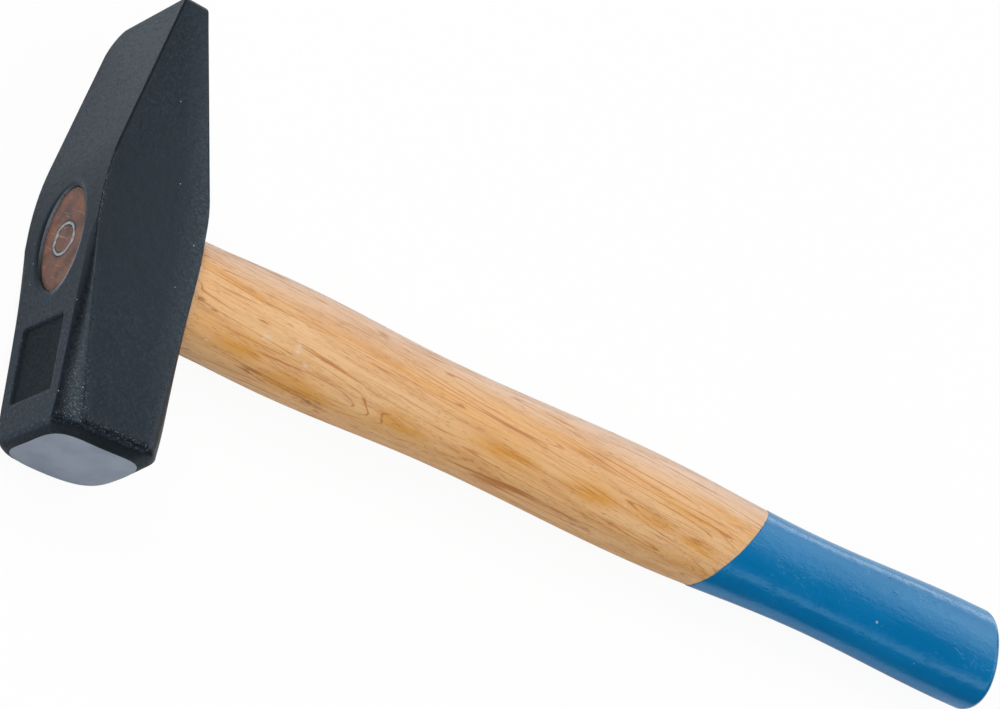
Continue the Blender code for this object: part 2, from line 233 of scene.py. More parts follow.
class Graph:
    """The node tree of one material, built up node by node around its Principled shader."""

    patch_core: float = 0.15
    speck_core: float = 0.6

    def __init__(self, name: str) -> None:
        """Starts a material with one shader and the part's own coordinates.

        Args:
            name: name of the material.
        """
        self.material = bpy.data.materials.new(name)
        self.material.use_nodes = True
        self.tree = self.material.node_tree
        self.shader = self.tree.nodes["Principled BSDF"]
        self.place = self.tree.nodes.new("ShaderNodeTexCoord").outputs["Object"]

    def feed(self, socket: Socket, value: Value) -> None:
        """Links a socket to another node, or writes a plain value on it.

        Args:
            socket: input to feed.
            value: output of another node, a number or a colour.
        """
        if isinstance(value, Socket):
            self.tree.links.new(value, socket)
        elif socket.type == "RGBA":
            socket.default_value = (*value, 1.0)
        else:
            socket.default_value = value

    def node(self, kind: str, inputs: dict[str | int, Value], **settings: object) -> bpy.types.Node:
        """Adds a node.

        Args:
            kind: Blender's name of the node type.
            inputs: values and links by input name or number.
            **settings: attributes of the node.

        Returns:
            The node.
        """
        made = self.tree.nodes.new(kind)
        for name, setting in settings.items():
            setattr(made, name, setting)
        for name, value in inputs.items():
            self.feed(made.inputs[name], value)
        return made

    def math(self, operation: str, first: Value, second: Value = 0.0) -> Socket:
        """Result of one sum on numbers."""
        return self.node("ShaderNodeMath", {0: first, 1: second}, operation=operation).outputs[0]

    def times(self, first: Value, second: Value) -> Socket:
        """Product of two numbers."""
        return self.math("MULTIPLY", first, second)

    def plus(self, first: Value, second: Value) -> Socket:
        """Two numbers together."""
        return self.math("ADD", first, second)

    def less(self, first: Value, second: Value) -> Socket:
        """The first number less the second."""
        return self.math("SUBTRACT", first, second)

    def most(self, first: Value, second: Value) -> Socket:
        """The larger of two numbers."""
        return self.math("MAXIMUM", first, second)

    def vector(self, operation: str, first: Value, second: Value) -> Socket:
        """Result of one sum on vectors."""
        return self.node("ShaderNodeVectorMath", {0: first, 1: second}, operation=operation).outputs[0]

    def parts(self) -> Sequence[Socket]:
        """The part's own X, Y and Z as three numbers."""
        return self.node("ShaderNodeSeparateXYZ", {0: self.place}).outputs

    def scaled(self, size: float | Triple, place: Socket | None = None) -> Socket:
        """Coordinates in which one step is the given size, the same all ways or along X, Y and Z."""
        sizes = size if isinstance(size, tuple) else (size, size, size)
        return self.vector("MULTIPLY", place or self.place, tuple(1.0 / one for one in sizes))

    def attribute(self, name: str) -> Socket:
        """A number that the mesh holds for each vertex."""
        return self.node("ShaderNodeAttribute", {}, attribute_name=name).outputs["Fac"]

    def spots(self, size: float | Triple, detail: float = 2.0, rough: float = 0.5,
              distortion: float = 0.0, place: Socket | None = None) -> Socket:
        """Smooth noise.

        Args:
            size: width of one spot, the same all ways or along X, Y and Z.
            detail: how many finer layers lie over it.
            rough: how strong those are.
            distortion: how much the spots are drawn out of shape.
            place: coordinates, if not the part's own.

        Returns:
            A number that is mostly between 0.25 and 0.75.
        """
        inputs = {"Vector": self.scaled(size, place), "Scale": 1.0, "Detail": detail,
                  "Roughness": rough, "Distortion": distortion}
        return self.node("ShaderNodeTexNoise", inputs).outputs[0]

    def specks(self, spacing: float | Triple, radius: float, share: float) -> Socket:
        """Scattered small round marks.

        Args:
            spacing: mean distance between places where one may be.
            radius: radius of a mark, as a share of the spacing.
            share: share of the places that have one.

        Returns:
            1 in a mark and 0 elsewhere.
        """
        inputs = {"Vector": self.scaled(spacing), "Scale": 1.0, "Randomness": 1.0}
        cells = self.node("ShaderNodeTexVoronoi", inputs)
        dot = self.span(cells.outputs["Distance"], radius, radius * self.speck_core)
        lot = self.node("ShaderNodeSeparateColor", {0: cells.outputs["Color"]}).outputs[0]
        return self.times(dot, self.math("LESS_THAN", lot, share))

    def patches(self, ovals: Sequence[Patch]) -> Socket:
        """Single marks in set places.

        Args:
            ovals: middle and half sizes of each mark.

        Returns:
            1 in the core of a mark, fading to 0 at its rim.
        """
        together = 0.0
        for middle, half_sizes in ovals:
            away = self.scaled(half_sizes, self.vector("SUBTRACT", self.place, middle))
            reach = self.node("ShaderNodeVectorMath", {0: away}, operation="LENGTH").outputs["Value"]
            together = self.most(self.span(reach, 1.0, self.patch_core), together)
        return together

    def span(self, value: Value, low: float, high: float, start: float = 0.0, end: float = 1.0) -> Socket:
        """Maps the stretch from low to high softly onto the stretch from start to end."""
        inputs = {"Value": value, "From Min": low, "From Max": high, "To Min": start, "To Max": end}
        return self.node("ShaderNodeMapRange", inputs, interpolation_type="SMOOTHSTEP").outputs[0]

    def fade(self, share: Value, least: float) -> Socket:
        """1 where a share is 0, falling to the least where it is 1."""
        return self.span(share, 0.0, 1.0, 1.0, least)

    def blend(self, share: Value, under: Value, over: Value, how: Blend = Blend.MIX) -> Socket:
        """Lays one colour over another.

        Args:
            share: strength of the upper colour.
            under: lower colour.
            over: upper colour.
            how: way in which they are laid together.

        Returns:
            The mixed colour.
        """
        made = self.tree.nodes.new("ShaderNodeMix")
        made.data_type = "RGBA"
        made.blend_type = how.value
        self.feed(made.inputs[0], share)
        self.feed(made.inputs[6], under)
        self.feed(made.inputs[7], over)
        return made.outputs[2]

    def bump(self, height: Socket, depth: float, below: Socket | None = None) -> Socket:
        """Relief that only the light feels.

        Args:
            height: 0 to 1.
            depth: what a height of 1 stands for, in metres.
            below: a coarser relief that this one lies on.

        Returns:
            The normal.
        """
        made = self.node("ShaderNodeBump", {"Height": height, "Distance": depth, "Strength": 1.0})
        if below:
            self.feed(made.inputs["Normal"], below)
        return made.outputs[0]

    def paint(self, **inputs: Value) -> bpy.types.Material:
        """Feeds the shader.

        Args:
            **inputs: values and links by the shader's input names, with underscores for spaces.

        Returns:
            The finished material.
        """
        for name, value in inputs.items():
            self.feed(self.shader.inputs[name.replace("_", " ")], value)
        return self.material


@dataclass(frozen=True)
class HeadLacquer:
    """Satin black lacquer on forged steel: grained on the crown, smooth on the cheeks, gritty by the face."""

    body: Colour = (0.0036, 0.0056, 0.0090)
    lean: Colour = (0.0400, 0.0600, 0.1000)
    # Near black of the fine grain and the pits, and of the painted shade
    pit_and_shade: Colour = (0.0006, 0.0008, 0.0012)
    # Steel colour of real chips and the rubbed lip, and of painted glints and highlights
    bare_and_highlight: Colour = (0.26, 0.28, 0.32)
    dust: Colour = (0.46, 0.48, 0.50)
    sheen: Colour = (0.58, 0.79, 1.0)
    grain: float = 0.00080
    grain_depth: float = 0.000045
    grain_span: Pair = (0.60, 0.36)
    cheek_grain: float = 0.35
    cheek_relief: float = 0.25
    grit: float = 0.00058
    grit_depth: float = 0.00004
    forged: float = 0.0035
    forged_depth: float = 0.00006
    mottle: float = 0.0009
    mottle_span: Pair = (0.47, 0.61)
    blotch_strength: Pair = (0.55, 1.0)
    # Where the blue lean fades by the eye, as painted shade that darkens the crown there
    eye_shade_y: float = 0.006
    eye_shade_span: Span = (0.008, 0.034, 0.15, 1.0)
    cheek_mottle: float = 0.2
    bevel_mottle: float = 0.1
    chip_and_glint: float = 0.00042
    chip_and_glint_span: Pair = (0.60, 0.69)
    rub_and_highlight_span: Span = (0.30, 0.50, 0.35, 1.0)
    dust_specks: Specks = (0.0046, 0.045, 0.55)
    lint_specks: Specks = ((0.006, 0.0125, 0.006), 0.028, 0.35)
    dust_share: float = 0.8
    roughness: Pair = (0.36, 0.54)
    cheek_gloss: float = 0.08
    grit_gloss: float = 0.05
    dull_matt: float = 0.25
    darkening_span: Pair = (0.0, 0.6)
    pits: tuple[Patch, ...] = (
        ((-0.0053, 0.0597, 0.0082), (0.0005, 0.0005, 0.0005)),
        ((-0.0056, 0.0586, 0.0137), (0.0004, 0.0004, 0.0004)),
    )

    def material(self) -> bpy.types.Material:
        """Builds the nodes.

        Returns:
            The material.
        """
        g = Graph("head_lacquer")
        cheek, dull, gritty = (g.attribute(name) for name in ("cheek", "dull", "gritty"))
        fine = g.spots(self.grain, detail=3.0, rough=0.65)
        coarse = g.spots(self.grit, detail=3.0, rough=0.7)
        broad = g.spots(self.forged, detail=3.0)
        grains = g.times(g.span(fine, *self.grain_span), g.fade(cheek, self.cheek_grain))
        colour = g.blend(grains, self.mottled(g, cheek, broad), self.pit_and_shade)
        # Painted shade in the sunken panel, deeper down, and a darker colour on the peen's edges and the
        # band, with the pits
        colour = g.blend(g.most(g.span(dull, *self.darkening_span), g.patches(self.pits)), colour, self.pit_and_shade)
        colour = self.worn(g, colour, coarse)
        rough = g.less(g.span(fine, *MOST_OF_NOISE, *self.roughness), g.times(cheek, self.cheek_gloss))
        rough = g.less(rough, g.times(gritty, self.grit_gloss))
        rough = g.plus(rough, g.times(dull, self.dull_matt))
        relief = g.bump(broad, self.forged_depth)
        relief = g.bump(g.times(fine, g.fade(cheek, self.cheek_relief)), self.grain_depth, relief)
        relief = g.bump(g.times(coarse, gritty), self.grit_depth, relief)
        return g.paint(Base_Color=colour, Roughness=rough, Specular_Tint=self.sheen, Normal=relief)

    def mottled(self, g: Graph, cheek: Socket, broad: Socket) -> Socket:
        """Black that leans to blue in small blotches, fainter on the cheeks and on the bevels, and faint by
        the eye as painted shade that darkens the crown there.

        Args:
            g: tree that the nodes go into.
            cheek: share of smooth cheek.
            broad: the waver of the forging.

        Returns:
            The colour.
        """
        # Painted shade: the blue lean fades by the eye, darkening the crown there
        from_eye = g.math("ABSOLUTE", g.less(g.parts()[1], self.eye_shade_y))
        strength = g.span(from_eye, *self.eye_shade_span)
        strength = g.times(strength, g.fade(cheek, self.cheek_mottle))
        strength = g.times(strength, g.fade(g.attribute("bevelled"), self.bevel_mottle))
        blotches = g.span(g.spots(self.mottle, detail=2.0, rough=0.65), *self.mottle_span)
        blotches = g.times(blotches, g.span(broad, *MOST_OF_NOISE, *self.blotch_strength))
        return g.blend(g.times(blotches, strength), self.body, self.lean)

    def worn(self, g: Graph, colour: Socket, coarse: Socket) -> Socket:
        """Lays bare chips, painted glints, the eye's lip rubbed and with a painted highlight, and dust over
        the lacquer.

        Args:
            g: tree that the nodes go into.
            colour: the whole lacquer.
            coarse: noise of the grit, which breaks up the rubbed and highlighted places.

        Returns:
            The worn colour.
        """
        # Real chips beside the eye, and painted glints by the face and on the band
        chips_and_glints = g.times(g.span(g.spots(self.chip_and_glint, detail=1.0), *self.chip_and_glint_span), g.attribute("chipped_and_glints"))
        # Rubbed steel and a painted highlight on the eye's lip, broken up by the grit
        rubbed_and_highlight = g.times(g.span(coarse, *self.rub_and_highlight_span), g.attribute("rubbed_and_highlight"))
        colour = g.blend(g.most(chips_and_glints, rubbed_and_highlight), colour, self.bare_and_highlight)
        dusty = g.most(g.specks(*self.dust_specks), g.specks(*self.lint_specks))
        return g.blend(g.times(dusty, self.dust_share), colour, self.dust)


@dataclass(frozen=True)
class GroundSteel:
    """Bare steel of the striking face, ground dull, with a paler worn rim."""

    steel: Colour = (0.405, 0.432, 0.488)
    dull: Colour = (0.335, 0.362, 0.415)
    rim: Colour = (0.46, 0.44, 0.38)
    rim_share: float = 0.8
    cloud: float = 0.009
    specks: Specks = (0.0045, 0.035, 0.4)
    speck_share: float = 0.6
    scratch: Triple = (0.00022, 0.0040, 0.0060)
    scratch_depth: float = 0.000003
    roughness: Pair = (0.50, 0.62)

    def material(self) -> bpy.types.Material:
        """Builds the nodes.

        Returns:
            The material.
        """
        g = Graph("ground_steel")
        lines = g.spots(self.scratch, detail=3.0, rough=0.6)
        colour = g.blend(g.span(g.spots(self.cloud, detail=3.0), *MOST_OF_NOISE), self.dull, self.steel)
        colour = g.blend(g.times(g.specks(*self.specks), self.speck_share), colour, self.dull)
        colour = g.blend(g.times(g.attribute("rim"), self.rim_share), colour, self.rim)
        rough = g.span(lines, *MOST_OF_NOISE, *self.roughness)
        relief = g.bump(lines, self.scratch_depth)
        return g.paint(Base_Color=colour, Roughness=rough, Metallic=1.0, Normal=relief)


@dataclass(frozen=True)
class WedgeSteel:
    """Plain steel of the ring wedge, driven in and ground off."""

    steel: Colour = (0.48, 0.51, 0.53)
    stain: Colour = (0.30, 0.28, 0.26)
    cloud: float = 0.0012
    stain_span: Pair = (0.45, 0.75)
    scratch: Triple = (0.001, 0.0030, 0.00016)
    scratch_depth: float = 0.000006
    roughness: Pair = (0.30, 0.48)

    def material(self) -> bpy.types.Material:
        """Builds the nodes.

        Returns:
            The material.
        """
        g = Graph("wedge_steel")
        lines = g.spots(self.scratch)
        cloud = g.spots(self.cloud, detail=3.0)
        colour = g.blend(g.span(cloud, *self.stain_span), self.steel, self.stain)
        rough = g.span(lines, *MOST_OF_NOISE, *self.roughness)
        relief = g.bump(lines, self.scratch_depth)
        return g.paint(Base_Color=colour, Roughness=rough, Metallic=1.0, Normal=relief)


@dataclass(frozen=True)
class VarnishedWood:
    """Straight open-pored wood under a clear satin varnish, with a few stains and scuffs."""

    honey: Colour = (0.770, 0.430, 0.165)
    pale: Colour = (0.810, 0.505, 0.250)
    # Paler, pinker colour of the painted sheen on the +Y side of the handle
    painted_sheen: Colour = (0.720, 0.490, 0.335)
    amber: Colour = (0.700, 0.325, 0.050)
    pore: Colour = (0.340, 0.140, 0.040)
    line: Colour = (0.72, 0.52, 0.32)
    stain: Colour = (0.340, 0.120, 0.022)
    scuff: Colour = (0.760, 0.620, 0.480)
    grain_lean: float = -0.085
    tone: Triple = (0.09, 0.011, 0.011)
    painted_sheen_y: Pair = (0.003, 0.015)
    painted_sheen_waver: float = 0.006
    cloud: Triple = (0.026, 0.0026, 0.0026)
    cloud_span: Span = (0.32, 0.62, 0.25, 0.95)
    streak: Triple = (0.08, 0.006, 0.006)
    streak_span: Span = (0.52, 0.72, 0.0, 0.8)
    pith: Pair = (-0.012, -0.060)
    ring_width: float = 0.0045
    ring_lean: float = 0.055
    ring_sway: float = 1.6
    sway: Triple = (0.050, 0.010, 0.010)
    early_span: Pair = (0.30, 0.48)
    early_share: float = 0.22
    fibre: Triple = (0.030, 0.0008, 0.0008)
    fibre_span: Span = (0.42, 0.72, 0.0, 0.42)
    fibre_depth: float = 0.000012
    row: Triple = (0.20, 0.0075, 0.0075)
    row_count: float = 17.0
    row_span: Pair = (0.12, 0.02)
    row_break: Triple = (0.030, 0.0016, 0.0016)
    row_break_span: Pair = (0.38, 0.60)
    dash: Triple = (0.0034, 0.00023, 0.00023)
    dash_crowd: Triple = (0.030, 0.0040, 0.0040)
    dash_floor: float = 0.70
    dashes_in_early: float = 0.05
    dashes_in_crowd: float = 0.14
    dash_span: Pair = (0.0, 0.06)
    dash_share: float = 0.48
    stain_streak: Triple = (0.0060, 0.00042, 0.00042)
    stain_span: Pair = (0.46, 0.60)
    stain_share: float = 0.85
    scuff_break: Triple = (0.0016, 0.00045, 0.00045)
    scuff_span: Pair = (0.40, 0.62)
    scuff_share: float = 0.75
    swell: Triple = (0.020, 0.0022, 0.0022)
    swell_depth: float = 0.00003
    roughness: Pair = (0.34, 0.46)
    amber_patches: tuple[Patch, ...] = (
        ((0.037, -0.0112, 0.0250), (0.013, 0.0042, 0.006)),
        ((0.058, -0.0146, 0.0224), (0.018, 0.0040, 0.006)),
        ((0.094, -0.0120, 0.0240), (0.016, 0.0036, 0.006)),
        ((0.130, -0.0085, 0.0258), (0.020, 0.0036, 0.006)),
        ((0.160, -0.0086, 0.0265), (0.018, 0.0040, 0.006)),
        ((0.183, -0.0082, 0.0269), (0.016, 0.0030, 0.006)),
        ((0.203, -0.0102, 0.0258), (0.013, 0.0038, 0.006)),
    )
    stains: tuple[Patch, ...] = (
        ((0.0216, -0.0049, 0.0271), (0.0026, 0.0013, 0.004)),
        ((0.0265, -0.0063, 0.0268), (0.0020, 0.0007, 0.004)),
        ((0.0302, -0.0060, 0.0270), (0.0013, 0.0006, 0.004)),
        ((0.0359, 0.0037, 0.0275), (0.0038, 0.0006, 0.004)),
        ((0.0421, -0.0035, 0.0277), (0.0034, 0.0008, 0.004)),
        ((0.0241, 0.0069, 0.0267), (0.0012, 0.0005, 0.004)),
        ((0.0450, -0.0152, 0.0211), (0.0070, 0.0015, 0.003)),
        ((0.0650, -0.0156, 0.0205), (0.0085, 0.0016, 0.003)),
        ((0.1698, 0.0049, 0.0276), (0.0014, 0.0006, 0.004)),
        ((0.1655, 0.0055, 0.0274), (0.0022, 0.0004, 0.004)),
    )
    scuffs: tuple[Patch, ...] = (
        ((0.0438, -0.0069, 0.0271), (0.0026, 0.0022, 0.004)),
        ((0.0542, -0.0063, 0.0274), (0.0018, 0.0036, 0.004)),
        ((0.0575, -0.0096, 0.0264), (0.0015, 0.0016, 0.004)),
        ((0.0277, -0.0129, 0.0234), (0.0012, 0.0009, 0.004)),
        ((0.1734, -0.0078, 0.0270), (0.0005, 0.0005, 0.002)),
    )

    def material(self) -> bpy.types.Material:
        """Builds the nodes.

        Returns:
            The material.
        """
        g = Graph("handle_wood")
        grain = self.leaning(g)
        early = self.early_wood(g)
        dashes = self.pores(g, early, grain)
        fibre = g.spots(self.fibre, detail=3.0, rough=0.6, place=grain)
        colour = self.toned(g, grain)
        lines = (g.times(early, self.early_share), g.span(fibre, *self.fibre_span),
                 self.grain_lines(g, grain))
        for share in lines:
            colour = g.blend(share, colour, self.line, Blend.MULTIPLY)
        colour = g.blend(g.times(dashes, self.dash_share), colour, self.pore)
        colour = self.marked(g, grain, colour)
        rough = g.span(fibre, *MOST_OF_NOISE, *self.roughness)
        relief = g.bump(g.spots(self.swell, place=grain), self.swell_depth)
        relief = g.bump(g.less(fibre, dashes), self.fibre_depth, relief)
        return g.paint(Base_Color=colour, Roughness=rough, Normal=relief)

    def leaning(self, g: Graph) -> Socket:
        """Coordinates along the grain, which runs a little across the handle."""
        shift = g.node("ShaderNodeCombineXYZ", {"Y": g.times(g.parts()[0], -self.grain_lean)})
        return g.vector("ADD", g.place, shift.outputs[0])

    def toned(self, g: Graph, grain: Socket) -> Socket:
        """Honey and pale heartwood, a paler and pinker painted sheen along the +Y side, and amber patches and
        streaks.

        Args:
            g: tree that the nodes go into.
            grain: coordinates along the grain.

        Returns:
            The colour under the lines and pores.
        """
        tone = g.spots(self.tone, detail=3.0, place=grain)
        colour = g.blend(g.span(tone, *MIDDLE_OF_NOISE), self.honey, self.pale)
        # Painted sheen: the +Y side of the handle is paler and pinker
        across = g.plus(g.parts()[1], g.times(tone, self.painted_sheen_waver))
        colour = g.blend(g.span(across, *self.painted_sheen_y), colour, self.painted_sheen)
        cloud = g.spots(self.cloud, detail=3.0, rough=0.6, place=grain)
        patches = g.times(g.patches(self.amber_patches), g.span(cloud, *self.cloud_span))
        streaks = g.spots(self.streak, detail=4.0, rough=0.6, distortion=0.4, place=grain)
        return g.blend(g.most(patches, g.span(streaks, *self.streak_span)), colour, self.amber)

    def marked(self, g: Graph, grain: Socket, colour: Socket) -> Socket:
        """Lays the stains, drawn out along the grain, and the scuffs over the wood.

        Args:
            g: tree that the nodes go into.
            grain: coordinates along the grain.
            colour: clean wood.

        Returns:
            The marked colour.
        """
        streaks = g.spots(self.stain_streak, rough=0.6, place=grain)
        stained = g.times(g.patches(self.stains), g.span(streaks, *self.stain_span))
        colour = g.blend(g.times(stained, self.stain_share), colour, self.stain)
        broken = g.spots(self.scuff_break, rough=0.6)
        scuffed = g.times(g.patches(self.scuffs), g.span(broken, *self.scuff_span))
        return g.blend(g.times(scuffed, self.scuff_share), colour, self.scuff)

    def early_wood(self, g: Graph) -> Socket:
        """Share of the soft, open part of each year's ring.

        Args:
            g: tree that the nodes go into.

        Returns:
            1 in the open part and 0 in the dense part.
        """
        x, y, z = g.parts()
        out_y = g.less(y, self.pith[0])
        out_z = g.plus(g.less(z, self.pith[1]), g.times(x, self.ring_lean))
        radius = g.math("SQRT", g.plus(g.times(out_y, out_y), g.times(out_z, out_z)))
        year = g.plus(g.math("DIVIDE", radius, self.ring_width), g.times(g.spots(self.sway), self.ring_sway))
        return g.span(g.math("PINGPONG", year, 0.5), *self.early_span)

    def grain_lines(self, g: Graph, grain: Socket) -> Socket:
        """Long thin lines where rows of vessels come to the surface.

        Args:
            g: tree that the nodes go into.
            grain: coordinates along the grain.

        Returns:
            Strength of a line, 0 between the lines.
        """
        rows = g.times(g.spots(self.row, detail=1.0, place=grain), self.row_count)
        thin = g.span(g.math("PINGPONG", rows, 0.5), *self.row_span)
        return g.times(thin, g.span(g.spots(self.row_break, place=grain), *self.row_break_span))

    def pores(self, g: Graph, early: Socket, grain: Socket) -> Socket:
        """Short dark dashes along the grain, thickest in the open part of the rings.

        Args:
            g: tree that the nodes go into.
            early: share of open wood.
            grain: coordinates along the grain.

        Returns:
            1 in a pore and 0 elsewhere.
        """
        dashes = g.spots(self.dash, detail=1.0, place=grain)
        floor = g.less(self.dash_floor, g.times(early, self.dashes_in_early))
        floor = g.less(floor, g.times(g.spots(self.dash_crowd, place=grain), self.dashes_in_crowd))
        return g.span(g.less(dashes, floor), *self.dash_span)


@dataclass(frozen=True)
class EndGrain:
    """End of the tongue: red-brown end grain with pale rays, a little crushed by the ring."""

    brown: Colour = (0.180, 0.090, 0.070)
    red: Colour = (0.265, 0.110, 0.064)
    dark: Colour = (0.050, 0.034, 0.030)
    ray: Colour = (0.46, 0.30, 0.22)
    ray_turn: float = math.radians(-28)
    ray_size: Triple = (0.01, 0.00050, 0.0080)
    cloud: float = 0.0042
    shade: float = 0.0050
    hole: float = 0.00040
    shade_span: Span = (0.46, 0.66, 0.0, 0.5)
    ray_span: Span = (0.66, 0.73, 0.0, 0.5)
    hole_span: Span = (0.58, 0.72, 0.0, 0.5)
    depth: float = 0.00003
    roughness: float = 0.55

    def material(self) -> bpy.types.Material:
        """Builds the nodes.

        Returns:
            The material.
        """
        g = Graph("end_grain")
        turned = g.node("ShaderNodeVectorRotate", {"Vector": g.place, "Angle": self.ray_turn},
                        rotation_type="X_AXIS").outputs[0]
        cloud = g.spots(self.cloud, detail=4.0, rough=0.6)
        rays = g.spots(self.ray_size, detail=1.0, place=turned)
        holes = g.spots(self.hole)
        shade = g.spots(self.shade, detail=3.0)
        colour = g.blend(g.span(cloud, *MIDDLE_OF_NOISE), self.brown, self.red)
        colour = g.blend(g.span(shade, *self.shade_span), colour, self.dark)
        colour = g.blend(g.span(rays, *self.ray_span), colour, self.ray)
        colour = g.blend(g.span(holes, *self.hole_span), colour, self.dark)
        colour = g.blend(g.attribute("crushed"), colour, self.dark)
        relief = g.bump(holes, self.depth, g.bump(rays, self.depth))
        return g.paint(Base_Color=colour, Roughness=self.roughness, Normal=relief)


@dataclass(frozen=True)
class BlueDip:
    """Semi-gloss blue lacquer, dipped on, with the runs, wrinkles and nibs of a thick coat."""

    blue: Colour = (0.000, 0.150, 0.378)
    light: Colour = (0.000, 0.164, 0.404)
    nib: Colour = (0.42, 0.52, 0.55)
    sheen: Colour = (0.34, 0.80, 1.0)
    nib_share: float = 0.8
    nib_specks: Specks = (0.011, 0.018, 0.25)
    cloud: Triple = (0.030, 0.008, 0.008)
    peel: Triple = (0.0034, 0.0022, 0.0022)
    run: Triple = (0.014, 0.0018, 0.0018)
    run_depth: float = 0.00008
    dent: Triple = (0.0018, 0.0011, 0.0011)
    dent_span: Pair = (0.54, 0.68)
    dent_crowd: Triple = (0.012, 0.005, 0.005)
    crowd_span: Pair = (0.50, 0.66)
    dent_depth: float = 0.00006
    bubble_depth: float = 0.00014
    bubble_rise: float = 1.6
    bubble_crest: float = 0.8
    roughness: Pair = (0.16, 0.22)
    wrinkles: tuple[Patch, ...] = (
        ((0.2262, -0.0012, 0.0273), (0.0050, 0.0030, 0.004)),
        ((0.2372, -0.0026, 0.0268), (0.0070, 0.0030, 0.004)),
        ((0.2500, -0.0016, 0.0266), (0.0070, 0.0034, 0.004)),
        ((0.2455, -0.0125, 0.0228), (0.0060, 0.0026, 0.004)),
        ((0.2560, -0.0097, 0.0247), (0.0060, 0.0024, 0.004)),
        ((0.3180, -0.0046, 0.0272), (0.0080, 0.0044, 0.004)),
    )
    bubbles: tuple[Patch, ...] = (
        ((0.2860, 0.0040, 0.0267), (0.0011, 0.0011, 0.0011)),
        ((0.2842, 0.0088, 0.0255), (0.0006, 0.0006, 0.0006)),
    )
    nibs: tuple[Patch, ...] = (((0.2795, -0.0072, 0.0259), (0.0008, 0.0006, 0.0008)),)

    def material(self) -> bpy.types.Material:
        """Builds the nodes.

        Returns:
            The material.
        """
        g = Graph("coat_blue")
        cloud = g.spots(self.cloud, detail=3.0)
        colour = g.blend(g.span(cloud, *MIDDLE_OF_NOISE), self.blue, self.light)
        nibs = g.most(g.patches(self.nibs), g.specks(*self.nib_specks))
        colour = g.blend(g.times(nibs, self.nib_share), colour, self.nib)
        rough = g.span(cloud, *MOST_OF_NOISE, *self.roughness)
        dents = g.span(g.spots(self.dent, detail=3.0, rough=0.6), *self.dent_span)
        crowd = g.most(g.patches(self.wrinkles), g.span(g.spots(self.dent_crowd), *self.crowd_span))
        bubbles = g.math("PINGPONG", g.times(g.patches(self.bubbles), self.bubble_rise), self.bubble_crest)
        relief = g.bump(g.spots(self.peel), self.run_depth)
        relief = g.bump(g.spots(self.run, detail=3.0, rough=0.6), self.run_depth, relief)
        relief = g.bump(g.less(1.0, g.times(dents, crowd)), self.dent_depth, relief)
        relief = g.bump(bubbles, self.bubble_depth, relief)
        return g.paint(Base_Color=colour, Roughness=rough, Specular_Tint=self.sheen, Normal=relief)


@dataclass(frozen=True)
class PaleFloor:
    """Plain white paper that keeps the hammer's shadow.

    Mirrored in a gloss it is white behind the hammer, and dark far in front and in front of the coat.
    """

    paper: Colour = (0.90, 0.90, 0.90)
    fibre: float = 0.004
    fibre_shade: float = 0.985
    roughness: float = 0.9
    shine: float = 0.1
    seen: float = 0.94
    mirrored: Pair = (0.06, 0.90)
    mirrored_tint: Colour = (0.84, 0.93, 1.0)
    handle_x: Pair = (0.03, 0.16)
    handle_y: Pair = (0.0, 0.02)
    near: float = 0.10
    far: float = 0.40
    by_coat: Pair = (-0.02, -0.07)
    front_light: float = 0.06

    def material(self) -> bpy.types.Material:
        """Builds the nodes.

        Returns:
            The material.
        """
        g = Graph("pale_floor")
        rays = g.node("ShaderNodeLightPath", {}).outputs
        glossy = rays["Is Glossy Ray"]
        fibre = g.span(g.spots(self.fibre, detail=3.0), *MOST_OF_NOISE)
        paper = g.blend(fibre, self.paper, tuple(self.fibre_shade * part for part in self.paper))
        paper = g.blend(glossy, paper, self.mirrored_tint, Blend.MULTIPLY)
        g.paint(Base_Color=paper, Roughness=self.roughness, Specular_IOR_Level=self.shine)
        x, y, _ = g.parts()
        beside = g.span(x, *self.handle_x)
        mirrored = g.span(g.times(beside, g.span(y, *self.handle_y)), 0.0, 1.0, *self.mirrored)
        behind = g.times(g.span(y, self.near, self.far), glossy)
        by_coat = g.times(g.span(y, *self.by_coat), beside)
        in_front = g.times(g.most(g.span(y, -self.near, -self.far), by_coat), glossy)
        seen = g.times(g.plus(rays["Is Camera Ray"], rays["Is Transmission Ray"]), self.seen)
        lift = g.most(g.plus(seen, g.times(glossy, mirrored)), g.most(behind, in_front))
        white = g.node("ShaderNodeEmission", {"Color": g.blend(glossy, (1.0, 1.0, 1.0), self.mirrored_tint),
                                              "Strength": g.fade(in_front, self.front_light)})
        mixed = g.node("ShaderNodeMixShader", {0: lift, 1: g.shader.outputs[0], 2: white.outputs[0]})
        g.feed(g.tree.nodes["Material Output"].inputs["Surface"], mixed.outputs[0])
        return g.material


class SubAssembly:
    """What every sub-assembly shares: the node it stands for and the slot of its finish."""

    node: str
    slot: str

    def seat(self, piece: bpy.types.Object) -> bpy.types.Object:
        """Puts a finished piece in the place of its node, on the hammer's one body.

        Args:
            piece: the dressed mesh.

        Returns:
            The same piece.
        """
        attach(piece, BODY)
        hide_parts(self.node)
        LOG.info("%s stands for %s: %d faces", piece.name, self.node, len(piece.data.polygons))
        return piece


